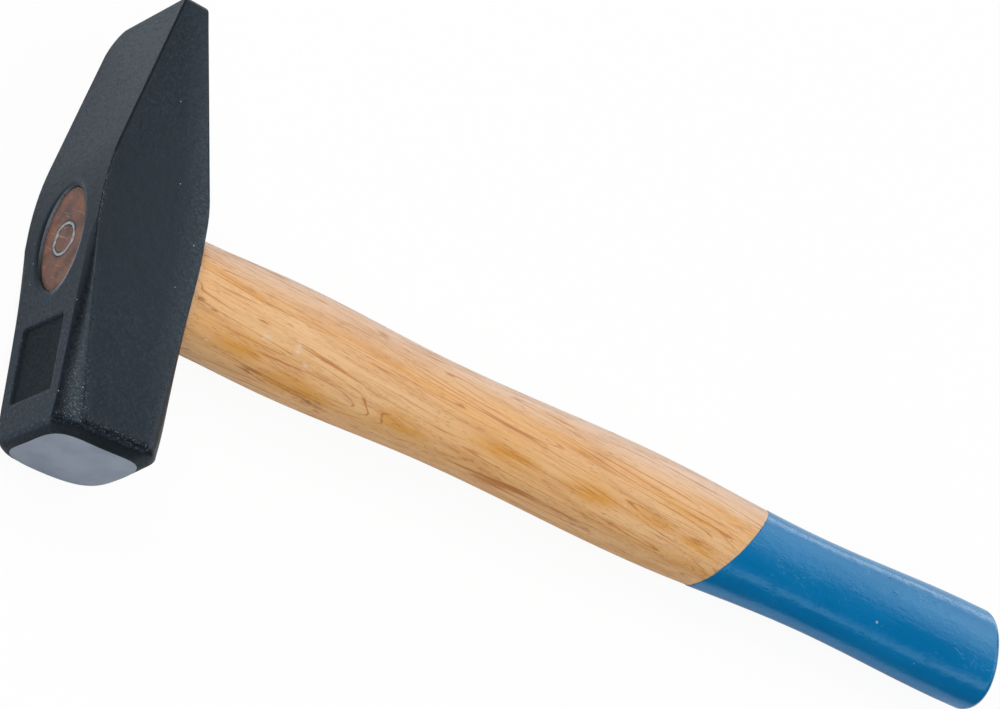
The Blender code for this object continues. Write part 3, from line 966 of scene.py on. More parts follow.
@dataclass(frozen=True)
class Eye:
    """The oval hole through the head, which the tongue of the handle fills."""

    crown_x: float = limit("hammer_head", 0, Side.LOW)
    under_x: float = limit("hammer_head", 0, Side.HIGH)
    crown: Pair = (0.0147, 0.0094)
    waist: Pair = (0.0138, 0.0083)
    mouth: Pair = (0.0145, 0.0092)
    waist_x: float = 0.0020
    lip_depth: float = 0.00125
    lip_soft: float = 0.0022
    lip_tight: float = 0.0005
    lip_soft_turn: float = math.radians(40)
    lip_turn: float = math.radians(72)
    lip_points: int = 22
    wall_rings: int = 22
    mouth_chamfer: float = 0.0008

    def half_sizes(self, x: float) -> Pair:
        """Half sizes of the eye, eased from its waist to either end.

        Args:
            x: place along the handle.

        Returns:
            Half sizes along Y and Z.
        """
        if x < self.waist_x:
            share, end = (self.waist_x - x) / (self.waist_x - self.crown_x), self.crown
        else:
            share, end = (x - self.waist_x) / (self.under_x - self.waist_x), self.mouth
        return ease(self.waist[0], end[0], share), ease(self.waist[1], end[1], share)

    def lip(self) -> tuple[np.ndarray, np.ndarray]:
        """Section of the lip from the crown in: a soft round, a tighter one and a short steep wall.

        Returns:
            Distances outside the wall of the eye, and depths below the crown.
        """
        turn = np.linspace(0.0, self.lip_turn, self.lip_points)
        step = np.diff(turn, prepend=0.0) * np.where(turn < self.lip_soft_turn, self.lip_soft, self.lip_tight)
        inward, depth = np.cumsum(step * np.cos(turn)), np.cumsum(step * np.sin(turn))
        inward = np.append(inward, inward[-1] + (self.lip_depth - depth[-1]) / math.tan(self.lip_turn))
        return inward[-1] - inward, np.append(depth, self.lip_depth)


@dataclass
class HammerHead(SubAssembly):
    """Forged head: striking end with growing bevels, eye, sunken panel and wedge-shaped peen."""

    eye: Eye
    node: str = "hammer_head"
    slot: str = "head_lacquer"
    crown_x: float = limit("hammer_head", 0, Side.LOW)
    under_x: float = limit("hammer_head", 0, Side.HIGH)
    face_y: float = limit("hammer_head", 1, Side.LOW)
    peen_y: float = limit("hammer_head", 1, Side.HIGH)
    crown_taper: float = 0.0003
    under_taper: float = 0.0007
    dome_radius: float = 0.114
    dome_shares: tuple[float, ...] = (0.02, 0.10, 0.22, 0.36, 0.50, 0.64, 0.76, 0.86, 0.93, 0.965, 0.985)
    chamfer_y: float = -0.0540
    chamfer_round: float = 0.0017
    rim_x: float = 0.0138
    rim_z: float = 0.0133
    rim_power: float = 4.0
    rim_shift: float = -0.0004
    band_soft: float = 0.45
    band_shares: tuple[float, ...] = (1.0, 0.75, 0.5, 0.25)
    turn_shares: tuple[float, ...] = (1.0, 0.8, 0.6, 0.4, 0.2)
    shoulder_y: float = 0.0156
    crown_blend: float = 0.0103
    under_blend: float = 0.0040
    tip_crown_x: float = -0.00235
    tip_under_x: float = 0.0050
    nose_x: float = 0.0010
    nose_y: float = 0.0008
    lower_corner: float = 0.0083
    upper_corner: float = 0.0018
    bevel_start_y: float = 0.0040
    bevel_on_crown: float = 0.0041
    bevel_on_cheek: float = 0.0061
    bevel_growth: float = 0.28
    bevel_open: float = 0.16
    bevel_flare: float = 0.0012
    bevel_flare_y: float = -0.0440
    bevel_lean_in: float = 0.45
    bevel_lean_out: float = 0.50
    bevel_reach: Pair = (0.16, 0.36)
    edge_break: float = 0.0005
    round_reach: float = 0.55
    edge_support: float = 0.00025
    cheek_roll: float = 0.00030
    cheek_roll_width: float = 0.0090
    forging: float = 0.00005
    forging_size: Triple = (0.011, 0.016, 0.011)
    forging_by_eye: Pair = (1.3, 2.0)
    forging_by_nose: float = 0.006
    forging_by_face: float = 0.003
    panel_y: Pair = (-0.0444, -0.0241)
    panel_z: Pair = (-0.0089, 0.0086)
    panel_depth: float = 0.0010
    panel_draft: float = 0.0004
    panel_corner: float = 0.0009
    panel_rim: float = 0.00025
    panel_fillet: float = 0.00030
    cutter_above: float = 0.002
    eye_skim: float = 0.000005
    panel_skim: float = 0.000004
    corner_points: int = 15
    cheek_points: int = 22
    crown_points: int = 34
    eye_points: int = 112
    panel_corner_points: int = 10
    panel_edge_points: int = 6
    sections: tuple[int, int, int, int] = (60, 30, 36, 34)
    section_crowding: float = 1.35
    sharp: float = math.radians(32)
    lacquer: HeadLacquer = HeadLacquer()
    steel: GroundSteel = GroundSteel()

    def build(self) -> bpy.types.Object:
        """Lofts the blank, cuts the eye and the panel, dresses the head and seats it.

        Returns:
            The head.
        """
        rings = np.concatenate((self.face_rings(), self.body_rings()))
        on_face = len(self.dome_shares)
        picks = [1] * on_face + [0] * (len(rings) - 1 - on_face)
        piece = skin("forged_head", rings, (self.lacquer.material(), self.steel.material()), picks)
        carve(piece, (self.eye_cutter(), self.panel_cutter()))
        piece.data.shade_smooth()
        piece.data.set_sharp_from_angle(angle=self.sharp)
        self.dress(piece)
        return self.seat(piece)

    def dress(self, piece: bpy.types.Object) -> None:
        """Marks the head's vertices for its finishes."""
        for name, values in HeadWear(self, vertex_places(piece)).marks().items():
            mark(piece, name, values)

    def bent(self, y: Number, body_x: Number, tip_x: float, blend: float) -> np.ndarray:
        """One side of the head: straight body, soft bend, then straight to the tip of the peen.

        Args:
            y: place along the head.
            body_x: X of the side on the body.
            tip_x: X of the side at the tip.
            blend: half length of the bend.

        Returns:
            X of the side at y.
        """
        slope = (tip_x - body_x) / (self.peen_y - self.shoulder_y)
        past = np.asarray(y - self.shoulder_y)
        bend = slope * np.clip(past + blend, 0.0, None) ** 2 / (4.0 * blend)
        return body_x + np.where(past >= blend, slope * past, bend)

    def crown_at(self, y: Number) -> np.ndarray:
        """X of the crown at y, without the round of the nose."""
        fall = np.maximum(0.0, y / self.chamfer_y)
        return self.bent(y, self.crown_x + self.crown_taper * fall, self.tip_crown_x, self.crown_blend)

    def under_at(self, y: Number) -> np.ndarray:
        """X of the handle side at y, without the round of the nose."""
        fall = np.maximum(0.0, y / self.chamfer_y)
        return self.bent(y, self.under_x - self.under_taper * fall, self.tip_under_x, self.under_blend)

    def bevel_legs(self, y: Number) -> tuple[np.ndarray, np.ndarray]:
        """Widths of the corner bevel, which opens beside the eye, grows and flares before the band.

        Args:
            y: place along the head.

        Returns:
            Width along Z on the crown, and along X on the cheek.
        """
        grown = np.maximum((self.bevel_start_y - y) / (self.bevel_start_y - self.chamfer_y), 0.0)
        opened = ease(0.0, 1.0, grown / self.bevel_open) * grown ** self.bevel_growth
        flare = ramp(y, self.bevel_flare_y, self.chamfer_y) ** 2
        on_crown = self.bevel_on_crown * opened + self.bevel_flare * flare
        on_cheek = self.bevel_on_cheek * grown
        return np.maximum(self.edge_break, on_crown), np.maximum(self.edge_break, on_cheek)

    def ring(self, y: float) -> np.ndarray:
        """Section of the head, whose corners on the handle side run out into the cheeks.

        Args:
            y: place along the head.

        Returns:
            Points as rows of X, Y and Z.
        """
        nose = quarter_round(self.nose_y, self.nose_x, self.peen_y - y)
        crown, under = self.crown_at(y) + nose, self.under_at(y) - nose
        low = -AXIS_Z + quarter_round(self.lower_corner, self.lower_corner, self.peen_y - y)
        high = AXIS_Z - quarter_round(self.upper_corner, self.upper_corner, self.peen_y - y)
        by_crown, by_handle = self.bevel_profile(y, self.bevel_lean_out), self.bevel_profile(y, 1.0)
        outline = []
        for end_x, end_z, flip in ((crown, high, 1), (under, high, -1), (under, low, 1), (crown, low, -1)):
            inward = np.array((1.0 if end_x == crown else -1.0, -1.0 if end_z == high else 1.0))
            corner = by_crown if end_x == crown else by_handle
            outline.append((np.array((end_x, end_z)) + corner * inward)[::flip])
        for i, points in enumerate((self.cheek_points, self.crown_points) * 2):
            start, end = outline[2 * i][-1], outline[(2 * i + 1) % len(outline)][0]
            margin = self.edge_support / np.linalg.norm(end - start)
            share = np.concatenate(((margin,), np.linspace(0.0, 1.0, points)[1:-1], (1.0 - margin,)))
            outline.insert(2 * i + 1, start + (end - start) * share[:, None])
        x, z = np.concatenate(outline).T
        return np.stack((x, np.full(len(x), y), AXIS_Z + z), axis=-1)

    def bevel_profile(self, y: float, run_out: float) -> np.ndarray:
        """Section of the corner at y, as distances in along X and along Z from the unbroken corner.

        A bevel leaves the crown at a low angle, rounds over and turns towards the cheek. Where there is no
        bevel, the corner is only broken.

        Args:
            y: place along the head.
            run_out: how far the bevel turns into the plane of the cheek, 1 for all the way.

        Returns:
            Points from the crown to the cheek.
        """
        on_crown, on_cheek = self.bevel_legs(y)
        grown = ramp(on_crown, self.edge_break, 2.0 * self.edge_break)
        chord, across = np.arctan2(on_cheek, on_crown), np.hypot(on_cheek, on_crown)
        lean_in = grown * self.bevel_lean_in * chord
        lean_out = np.pi / 2 - grown * (1.0 - run_out) * (np.pi / 2 - chord)
        reaches = []
        for leg, reach in zip((on_crown, on_cheek), self.bevel_reach):
            broken = self.round_reach * leg
            reaches.append(broken + grown * (reach * across - broken))
        start, end = np.array((0.0, on_crown)), np.array((on_cheek, 0.0))
        first = start + reaches[0] * np.array((np.sin(lean_in), -np.cos(lean_in)))
        second = end - reaches[1] * np.array((np.sin(lean_out), -np.cos(lean_out)))
        t = np.linspace(0.0, 1.0, self.corner_points)[:, None]
        early = start * (1 - t) ** 3 + 3 * first * t * (1 - t) ** 2
        return early + 3 * second * t ** 2 * (1 - t) + end * t ** 3

    def stations(self) -> np.ndarray:
        """Places along Y of the sections, close together where the head changes.

        Returns:
            Places from the striking end to the nose.
        """
        on_bevel, on_middle, on_peen, on_nose = self.sections
        start, bent_y = self.chamfer_y + self.chamfer_round, self.shoulder_y + self.crown_blend
        crowded = np.linspace(1.0, 0.0, on_bevel) ** self.section_crowding
        bevel = self.bevel_start_y + (start - self.bevel_start_y) * crowded
        middle = np.linspace(self.bevel_start_y, bent_y, on_middle)[1:]
        peen = np.linspace(bent_y, self.peen_y - self.lower_corner, on_peen)[1:]
        nose = self.peen_y - self.lower_corner * (1.0 - np.sin(np.linspace(0.0, np.pi / 2, on_nose)))[1:]
        return np.concatenate((bevel, middle, peen, nose))

    def body_rings(self) -> np.ndarray:
        """Sections from the striking end to the peen, uneven as a forging is."""
        return self.uneven(np.stack([self.ring(y) for y in self.stations()]))

    def uneven(self, rings: np.ndarray) -> np.ndarray:
        """Rolls the cheeks off towards the handle and gives the surface the waver of a forging.

        Args:
            rings: clean sections.

        Returns:
            Sections that stay inside the head's box.
        """
        x, y, z = np.moveaxis(rings, -1, 0)
        up = (z - AXIS_Z) / AXIS_Z
        rolled = ramp(x - self.under_at(y), -self.cheek_roll_width, 0.0)
        shaped = rings.copy()
        shaped[..., 2] = z - up * self.cheek_roll * rolled ** 2
        from_eye = np.hypot(y / self.eye.crown[0], (z - AXIS_Z) / self.eye.crown[1])
        calm = np.where(x > 0.0, 1.0, ramp(from_eye, *self.forging_by_eye))
        by_nose = ramp(self.peen_y - y, 0.0, self.forging_by_nose)
        by_face = ramp(y - self.chamfer_y, 0.0, self.forging_by_face)
        depth = self.forging * calm * (by_nose * by_face)
        shaped[..., 0] -= np.sign(x) * depth * hollows(rings, self.forging_size, 1)
        shaped[..., 2] -= np.sign(up) * depth * hollows(rings, self.forging_size, 2)
        return shaped

    def domed(self, ring: np.ndarray) -> np.ndarray:
        """Lays a ring on the striking face, a shallow dome about the middle of the section.

        Args:
            ring: points with the right X and Z.

        Returns:
            The points with Y on the dome.
        """
        x, _, z = ring.T
        y = self.face_y + (x * x + (z - AXIS_Z) ** 2) / (2.0 * self.dome_radius)
        return np.stack((x, y, z), axis=-1)

    def rim_reach(self, x: np.ndarray, z: np.ndarray) -> np.ndarray:
        """How far out a place on the striking face is: 1 on its rim, a squarish oval."""
        out_x, out_z = (x - self.rim_shift) / self.rim_x, (z - AXIS_Z - self.rim_shift) / self.rim_z
        return (abs(out_x) ** self.rim_power + abs(out_z) ** self.rim_power) ** (1.0 / self.rim_power)

    def face_rings(self) -> np.ndarray:
        """Rings of the striking face from its middle out to its rim, then the band back to the body.

        Returns:
            Points by ring, by place round the ring, by axis.
        """
        corner = self.ring(self.chamfer_y)
        body = self.ring(self.chamfer_y + self.chamfer_round)
        middle = np.array((self.rim_shift, 0.0, AXIS_Z + self.rim_shift))
        rim = self.domed(middle + (corner - middle) / self.rim_reach(corner[:, 0], corner[:, 2])[:, None])
        rings = [self.domed(middle + (rim - middle) * share) for share in self.dome_shares]
        inner = corner + (rim - corner) * self.band_soft
        rings += [inner + (rim - inner) * share for share in self.band_shares]
        for t in self.turn_shares:
            rings.append(body * (1 - t) ** 2 + corner * 2 * t * (1 - t) + inner * t ** 2)
        return np.stack(rings)

    def eye_cutter(self) -> bpy.types.Object:
        """The hole for the tongue: a round lip that follows the crown, a waist, and a chamfered mouth.

        Returns:
            The cutter.
        """
        eye, points = self.eye, self.eye_points
        half_y, half_z = eye.crown
        outs, depths = eye.lip()
        lip_x = self.crown_x + eye.lip_depth
        rings = [oval(self.crown_x - self.cutter_above, half_y + outs[0], half_z + outs[0], points)]
        for out, depth in zip(outs, depths):
            ring = oval(0.0, half_y + out, half_z + out, points)
            top = self.crown_at(ring[:, 1]) - self.eye_skim
            ring[:, 0] = top + (lip_x - top) * depth / eye.lip_depth
            rings.append(ring)
        for x in np.linspace(lip_x, self.under_x - eye.mouth_chamfer, eye.wall_rings)[1:]:
            rings.append(oval(x, *eye.half_sizes(x), points))
        flare = eye.mouth_chamfer + self.cutter_above
        mouth_y, mouth_z = (half + flare for half in eye.mouth)
        rings.append(oval(self.under_x + self.cutter_above, mouth_y, mouth_z, points))
        return skin("eye_cutter", np.stack(rings))

    def panel_cutter(self) -> bpy.types.Object:
        """Shallow panel on the crown: a round rim, drafted walls and a floor with a small fillet.

        Returns:
            The cutter.
        """
        quarter = np.linspace(0.0, np.pi / 2, self.panel_edge_points)
        steps = [(self.panel_rim, -self.panel_depth)]
        steps += [(self.panel_rim * (1.0 - np.cos(turn)), self.panel_rim * (1.0 - np.sin(turn)))
                  for turn in quarter[::-1]]
        rings = []
        for outset, depth in steps:
            ring = self.panel_outline(self.panel_draft + outset)
            ring[:, 0] = self.crown_at(ring[:, 1]) - self.panel_skim + depth
            rings.append(ring)
        for turn in quarter:
            ring = self.panel_outline(-self.panel_fillet * (1.0 - np.cos(turn)))
            ring[:, 0] = self.crown_x + self.panel_depth - self.panel_fillet * (1.0 - np.sin(turn))
            rings.append(ring)
        return skin("panel_cutter", np.stack(rings))

    def panel_outline(self, outset: float) -> np.ndarray:
        """Outline of the sunken panel with round corners.

        Args:
            outset: how much wider it is than the panel's floor, all round.

        Returns:
            Points as rows of X, Y and Z, with X left at 0.
        """
        middle = np.array((sum(self.panel_y) / 2, sum(self.panel_z) / 2))
        reach = np.array((np.ptp(self.panel_y), np.ptp(self.panel_z))) / 2 - self.panel_corner + outset
        points = []
        for quarter, side in enumerate(((1, 1), (-1, 1), (-1, -1), (1, -1))):
            for turn in np.radians(90.0 * quarter + np.linspace(0.0, 90.0, self.panel_corner_points)):
                corner = middle + reach * side + self.panel_corner * np.array((np.cos(turn), np.sin(turn)))
                points.append((0.0, corner[0], AXIS_Z + corner[1]))
        return np.array(points)


@dataclass
class HeadWear:
    """Where the head's lacquer is smooth, gritty, chipped, dull or rubbed, and where glints, highlights and
    shade are painted on it, as a share for each vertex.

    A pair is where a share is 0 and where it is 1, in metres or as a part of the bevel, the eye or the face.
    """

    head: HammerHead
    places: np.ndarray
    flat_of_cheek: Pair = (0.9, 1.1)
    edge_of_cheek: Pair = (0.0012, 0.0004)
    edge_of_bevel: Pair = (1.15, 0.95)
    start_of_bevel: Pair = (0.0, 0.2)
    grit_on_cheek: Pair = (1.5, 1.1)
    grit_on_crown: Pair = (1.1, 0.9)
    grit_across: Pair = (0.15, 0.5)
    start_of_grit: Pair = (0.0, 1.0 / 2.2)
    least_bevel: float = 1.05
    least_reach: float = 1e-6
    band_grit: float = 0.3
    chips_on_edge: Pair = (0.0011, 0.0)
    chips_before_eye: Pair = (-0.010, -0.006)
    chips_after_eye: Pair = (0.022, 0.018)
    edge_chips: float = 0.5
    # These eight place the painted glints on the corner by the face and on the band
    glints_by_face: Pair = (0.55, 0.95)
    glints_off_band: float = 0.001
    glints_by_crown: Pair = (0.004, 0.0)
    glints_by_cheek: Pair = (0.007, 0.004)
    corner_glints: float = 0.45
    band_glint_y: float = 0.0012
    band_glint_width: float = 0.0020
    band_glints: float = 0.5
    dull_edge: Pair = (0.0008, 0.0004)
    dull_from_y: Pair = (0.018, 0.021)
    # Matt lacquer and painted shade in the panel
    dull_and_shaded_panel: float = 1.3
    dull_band_width: float = 0.0008
    dull_band: float = 0.6
    crest_out: float = 0.0010
    crest_width: Pair = (0.0006, 0.0006 * 0.3 / 1.3)
    crest_up: Pair = (0.0, 0.625)
    crest_y: Pair = (0.003, -0.003)
    least_crest: float = 0.15
    wall_out: Pair = (0.00034, 0.00024)
    wall_up: Pair = (0.15, -0.35)
    wall_y: Pair = (-0.0099, 0.0081)
    least_wall: float = 0.1
    # Strength of the painted highlight on the lip's far wall
    wall_highlight: float = 0.45
    lip_inside: float = -0.0002
    rim_edge: Pair = (0.984, 1.0)

    def __post_init__(self) -> None:
        """Works out the distances in from the head's sides and how far its bevels have grown."""
        head = self.head
        self.x, self.y, self.z = self.places.T
        from_side = np.minimum(self.x - head.crown_at(self.y), head.under_at(self.y) - self.x)
        self.from_side = np.maximum(from_side, 0.0)
        self.from_cheek = AXIS_Z - abs(self.z - AXIS_Z)
        self.from_edge = np.hypot(self.from_side, self.from_cheek)
        self.on_crown, on_cheek = head.bevel_legs(self.y)
        self.along, self.across = self.from_side / on_cheek, self.from_cheek / self.on_crown
        self.grown = ramp(self.y, head.bevel_start_y, head.chamfer_y)

    def marks(self) -> dict[str, np.ndarray]:
        """All marks.

        Returns:
            Shares between 0 and 1 by the names that the finishes read.
        """
        shares = {"cheek": self.smooth, "bevelled": self.bevelled, "gritty": self.gritty,
                  "chipped_and_glints": self.chipped_and_glints, "dull": self.dull, "rubbed_and_highlight": self.rubbed_and_highlight, "rim": self.at_rim}
        return {name: np.clip(share(), 0.0, 1.0) for name, share in shares.items()}

    def smooth(self) -> np.ndarray:
        """1 on the flat of the cheeks."""
        return ramp(self.along, *self.flat_of_cheek) * ramp(self.from_cheek, *self.edge_of_cheek)

    def bevelled(self) -> np.ndarray:
        """1 on the bevels, once they have grown beside the eye."""
        inside = ramp(self.along, *self.edge_of_bevel) * ramp(self.across, *self.edge_of_bevel)
        return inside * ramp(self.grown, *self.start_of_bevel)

    def gritty(self) -> np.ndarray:
        """Where the lacquer lies over rough scale.

        Returns:
            1 on the bevels towards the face, and less on the band.
        """
        inside = ramp(self.along, *self.grit_on_cheek) * ramp(self.across, *self.grit_on_crown)
        share = self.along / np.maximum(self.along + self.across, self.least_reach)
        bevel = inside * ramp(share, *self.grit_across) * ramp(self.grown, *self.start_of_grit)
        bevel = np.where(self.on_crown > self.least_bevel * self.head.edge_break, bevel, 0.0)
        band_y = self.head.chamfer_y + self.head.chamfer_round
        return np.maximum(bevel, self.band_grit * ramp(self.y, band_y + self.head.chamfer_round, band_y))

    def chipped_and_glints(self) -> np.ndarray:
        """Where the lacquer has small bare chips, and small painted glints.

        Returns:
            Share of real chips on the edges beside the eye, and of painted glints on the corner next to the
            face and on the band.
        """
        chamfer_y = self.head.chamfer_y
        by_eye = ramp(self.y, *self.chips_before_eye) * ramp(self.y, *self.chips_after_eye)
        on_edge = self.edge_chips * ramp(self.from_edge, *self.chips_on_edge) * by_eye
        # Painted glints on the gritty corner next to the face and on the band
        by_cheek = ramp(self.from_cheek, *self.glints_by_cheek)
        by_face = ramp(self.grown, *self.glints_by_face) * ramp(self.y - chamfer_y, 0.0, self.glints_off_band)
        by_crown = ramp(self.x, *self.glints_by_crown)
        on_corner = self.corner_glints * self.gritty() * by_face * by_crown * by_cheek
        off_band = abs(self.y - chamfer_y - self.band_glint_y)
        on_band = self.band_glints * ramp(off_band, self.band_glint_width, 0.0) * by_cheek
        return np.maximum.reduce((on_edge, on_corner, on_band))

    def dull(self) -> np.ndarray:
        """Where the lacquer is matt and its colour darker, with painted shade in the sunken panel.

        Returns:
            1 on the edges of the peen and in the sunken panel, more the deeper it lies, and less on the band.
        """
        head = self.head
        edge = ramp(self.from_edge, *self.dull_edge) * ramp(self.y, *self.dull_from_y)
        in_panel = self.x < 0.0
        for value, (low, high) in ((self.y, head.panel_y), (self.z - AXIS_Z, head.panel_z)):
            in_panel &= (value > low - head.panel_draft) & (value < high + head.panel_draft)
        # Painted shade and matt lacquer, both stronger the deeper the panel lies
        depth = (self.x - head.crown_at(self.y)) / head.panel_depth
        panel = np.where(in_panel, self.dull_and_shaded_panel * depth, 0.0)
        band = self.dull_band * ramp(head.chamfer_y - self.y, 0.0, self.dull_band_width)
        return np.maximum.reduce((edge, panel, band))

    def rubbed_and_highlight(self) -> np.ndarray:
        """Where the eye's lip is lighter: partly rubbed steel, partly painted highlight.

        Returns:
            Share of the steel colour: a painted highlight on its far wall, and rubbed steel with a painted
                highlight on its crest beside the upper cheek.
        """
        half_y, half_z = self.head.eye.crown
        up = (self.z - AXIS_Z) / half_z
        out = (np.hypot(self.y / half_y, up) - 1.0) * half_z
        # Crest beside the upper cheek: rubbed steel with a painted highlight
        crest = ramp(abs(out - self.crest_out), *self.crest_width) * ramp(up, *self.crest_up)
        crest *= np.maximum(self.least_crest, ramp(self.y, *self.crest_y))
        # Painted highlight on the lip's far wall, which faces the light
        wall = self.wall_highlight * ramp(out, *self.wall_out) * ramp(up, *self.wall_up)
        wall *= np.maximum(self.least_wall, ramp(self.y, *self.wall_y))
        in_lip = (self.x < 0.0) & (out > self.lip_inside)
        return np.where(in_lip, np.maximum(crest, wall), 0.0)

    def at_rim(self) -> np.ndarray:
        """1 on the very edge of the striking face and 0 inside it."""
        reach = self.head.rim_reach(self.x, self.z)
        return np.where(self.y < self.head.chamfer_y, ramp(reach, *self.rim_edge), 0.0)


@dataclass(frozen=True)
class HandleForm:
    """Outer form of the handle, which the bare wood and the blue coat share."""

    end_x: float = 0.3348
    swells: tuple[Triple, ...] = (
        (0.0220, 0.01560, 0.01076),
        (0.0580, 0.01645, 0.01135),
        (0.1120, 0.01510, 0.01042),
        (0.1880, 0.01672, 0.01140),
        (0.2560, 0.01490, 0.00970),
        (0.3250, 0.01672, 0.01060),
    )
    squareness: float = 2.2
    butt_round: float = 0.0032
    butt_crown: float = 0.0007
    butt_slant: float = 0.057
    butt_shares: tuple[float, ...] = (0.94, 0.85, 0.72, 0.56, 0.38, 0.20, 0.05)
    coat_edge_x: float = 0.2240
    coat_slant: float = 0.74
    slant_in: float = 0.0480
    slant_out: float = 0.0900
    least_arm: float = 0.004
    around: int = 144
    butt_rings: int = 16
    hidden_rings: int = 40
    fitting_rounds: int = 5

    def half_sizes(self, x: np.ndarray) -> tuple[np.ndarray, np.ndarray]:
        """Half sizes of the handle, eased between its swells and waists.

        Args:
            x: places along the handle.

        Returns:
            Half width along Y and half thickness along Z.
        """
        table = np.array(self.swells)
        held = np.clip(x, table[0, 0], table[-1, 0])
        after = np.clip(np.searchsorted(table[:, 0], held), 1, len(table) - 1)
        before = after - 1
        share = (held - table[before, 0]) / (table[after, 0] - table[before, 0])
        return ease(table[before, 1], table[after, 1], share), ease(table[before, 2], table[after, 2], share)

    def slant(self, station: float) -> float:
        """Lean of the rings, which is that of the coat's edge beside it and comes round to that of the butt.

        Args:
            station: place along X on the axis.

        Returns:
            Metres along X for each metre along Y.
        """
        if station <= self.coat_edge_x:
            return float(ease(self.coat_slant, 0.0, (self.coat_edge_x - station) / self.slant_in))
        return float(ease(self.coat_slant, self.butt_slant, (station - self.coat_edge_x) / self.slant_out))

    def ring(self, station: Number, inset: float, end_x: float, slant: float | None = None) -> np.ndarray:
        """Ring on the surface of the handle.

        Args:
            station: place along X on the axis, the same all round or point by point.
            inset: how far below the surface.
            end_x: where this surface ends.
            slant: lean of the ring, if not the form's own.

        Returns:
            Points as rows of X, Y and Z.
        """
        lean = self.slant(float(np.mean(station))) if slant is None else slant
        turn = np.linspace(0.0, 2.0 * np.pi, self.around, endpoint=False)
        sides = np.stack((np.cos(turn), np.sin(turn)))
        across, up = np.sign(sides) * abs(sides) ** (2.0 / self.squareness)
        edge = self.butt_round - inset
        x, y = station + np.zeros(self.around), np.zeros(self.around)
        for _ in range(self.fitting_rounds):
            half_y, half_z = self.half_sizes(x)
            turned_in = inset + quarter_round(edge, edge, end_x + self.butt_slant * y - x)
            y = (half_y - turned_in) * across
            x = station + lean * y
        return np.stack((x, y, AXIS_Z + (half_z - turned_in) * up), axis=-1)

    def butt(self, inset: float, end_x: float) -> list[np.ndarray]:
        """Rings from the round edge of the butt to the middle of its slightly crowned end.

        Args:
            inset: how far below the surface.
            end_x: where this surface ends.

        Returns:
            The rings in order.
        """
        edge = self.butt_round - inset
        turns = np.linspace(0.0, np.pi / 2, self.butt_rings)
        rings = [self.ring(end_x - edge * (1.0 - np.sin(turn)), inset, end_x) for turn in turns]
        rim = rings[-1]
        for share in self.butt_shares:
            y = rim[:, 1] * share
            x = end_x + self.butt_crown * (1.0 - share * share) + self.butt_slant * y
            rings.append(np.stack((x, y, AXIS_Z + (rim[:, 2] - AXIS_Z) * share), axis=-1))
        return rings

    def below(self, first: float, inset: float) -> list[np.ndarray]:
        """Rings below the surface to the middle of the butt.

        Args:
            first: station of the first ring.
            inset: how far below the surface.

        Returns:
            The rings in order.
        """
        end_x = self.end_x - inset
        stations = np.linspace(first, end_x - self.butt_round, self.hidden_rings)[:-1]
        return [self.ring(station, inset, end_x) for station in stations] + self.butt(inset, end_x)

    def sunk(self, ring: np.ndarray, depth: np.ndarray) -> np.ndarray:
        """Moves points towards the handle's axis.

        Args:
            ring: points as rows of X, Y and Z.
            depth: how far each point moves, less near the axis.

        Returns:
            The moved points.
        """
        arm = np.stack((np.zeros(len(ring)), ring[:, 1], ring[:, 2] - AXIS_Z), axis=-1)
        length = np.maximum(np.linalg.norm(arm, axis=-1, keepdims=True), self.least_arm)
        return ring - arm / length * depth[:, None]


@dataclass
class RingWedge(SubAssembly):
    """Tapered steel ring driven into the end grain."""

    node: str = "ring_wedge"
    slot: str = "wedge_steel"
    top_x: float = limit("ring_wedge", 0, Side.LOW)
    tip_x: float = limit("ring_wedge", 0, Side.HIGH)
    radius: float = 0.0048
    wall: float = 0.00088
    tip_radius: float = 0.0042
    tip_wall: float = 0.0005
    taper_starts: float = 0.6
    corner: float = 0.00024
    corner_cut: float = 0.3
    flat_points: Pair = (0.35, 0.65)
    dent: float = 0.00005
    dent_size: Triple = (0.01, 0.0016, 0.0016)
    dent_reach: float = 0.001
    around: int = 96
    sharp: float = math.radians(50)
    steel: WedgeSteel = WedgeSteel()

    def build(self) -> bpy.types.Object:
        """Turns the ring with broken corners and an uneven top, dresses it and seats it.

        Returns:
            The ring.
        """
        rings = np.stack([oval(x, radius, radius, self.around) for radius, x in self.profile()])
        near_top = ramp(rings[..., 0], self.top_x + self.dent_reach, self.top_x)
        rings[..., 0] += self.dent * near_top * hollows(rings, self.dent_size, 5)
        piece = skin("wedge_ring", rings, (self.steel.material(),), ends=Ends.JOINED)
        piece.data.set_sharp_from_angle(angle=self.sharp)
        return self.seat(piece)

    def profile(self) -> list[Pair]:
        """Section of the ring: up the outer side, over the top, down the inner side.

        Returns:
            Radius and X of each corner.
        """
        outer, inner, top = self.radius, self.radius - self.wall, self.top_x
        corner, cut = self.corner, self.corner * self.corner_cut
        taper_radius = self.tip_radius + (outer - self.tip_radius) * self.taper_starts
        taper_x = self.tip_x + (top - self.tip_x) * self.taper_starts
        return [
            (self.tip_radius, self.tip_x), (taper_radius, taper_x),
            (outer, top + corner), (outer - cut, top + cut), (outer - corner, top),
            *((outer - self.wall * share, top) for share in self.flat_points),
            (inner + corner, top), (inner + cut, top + cut), (inner, top + corner),
            (self.tip_radius - self.tip_wall, self.tip_x),
        ]


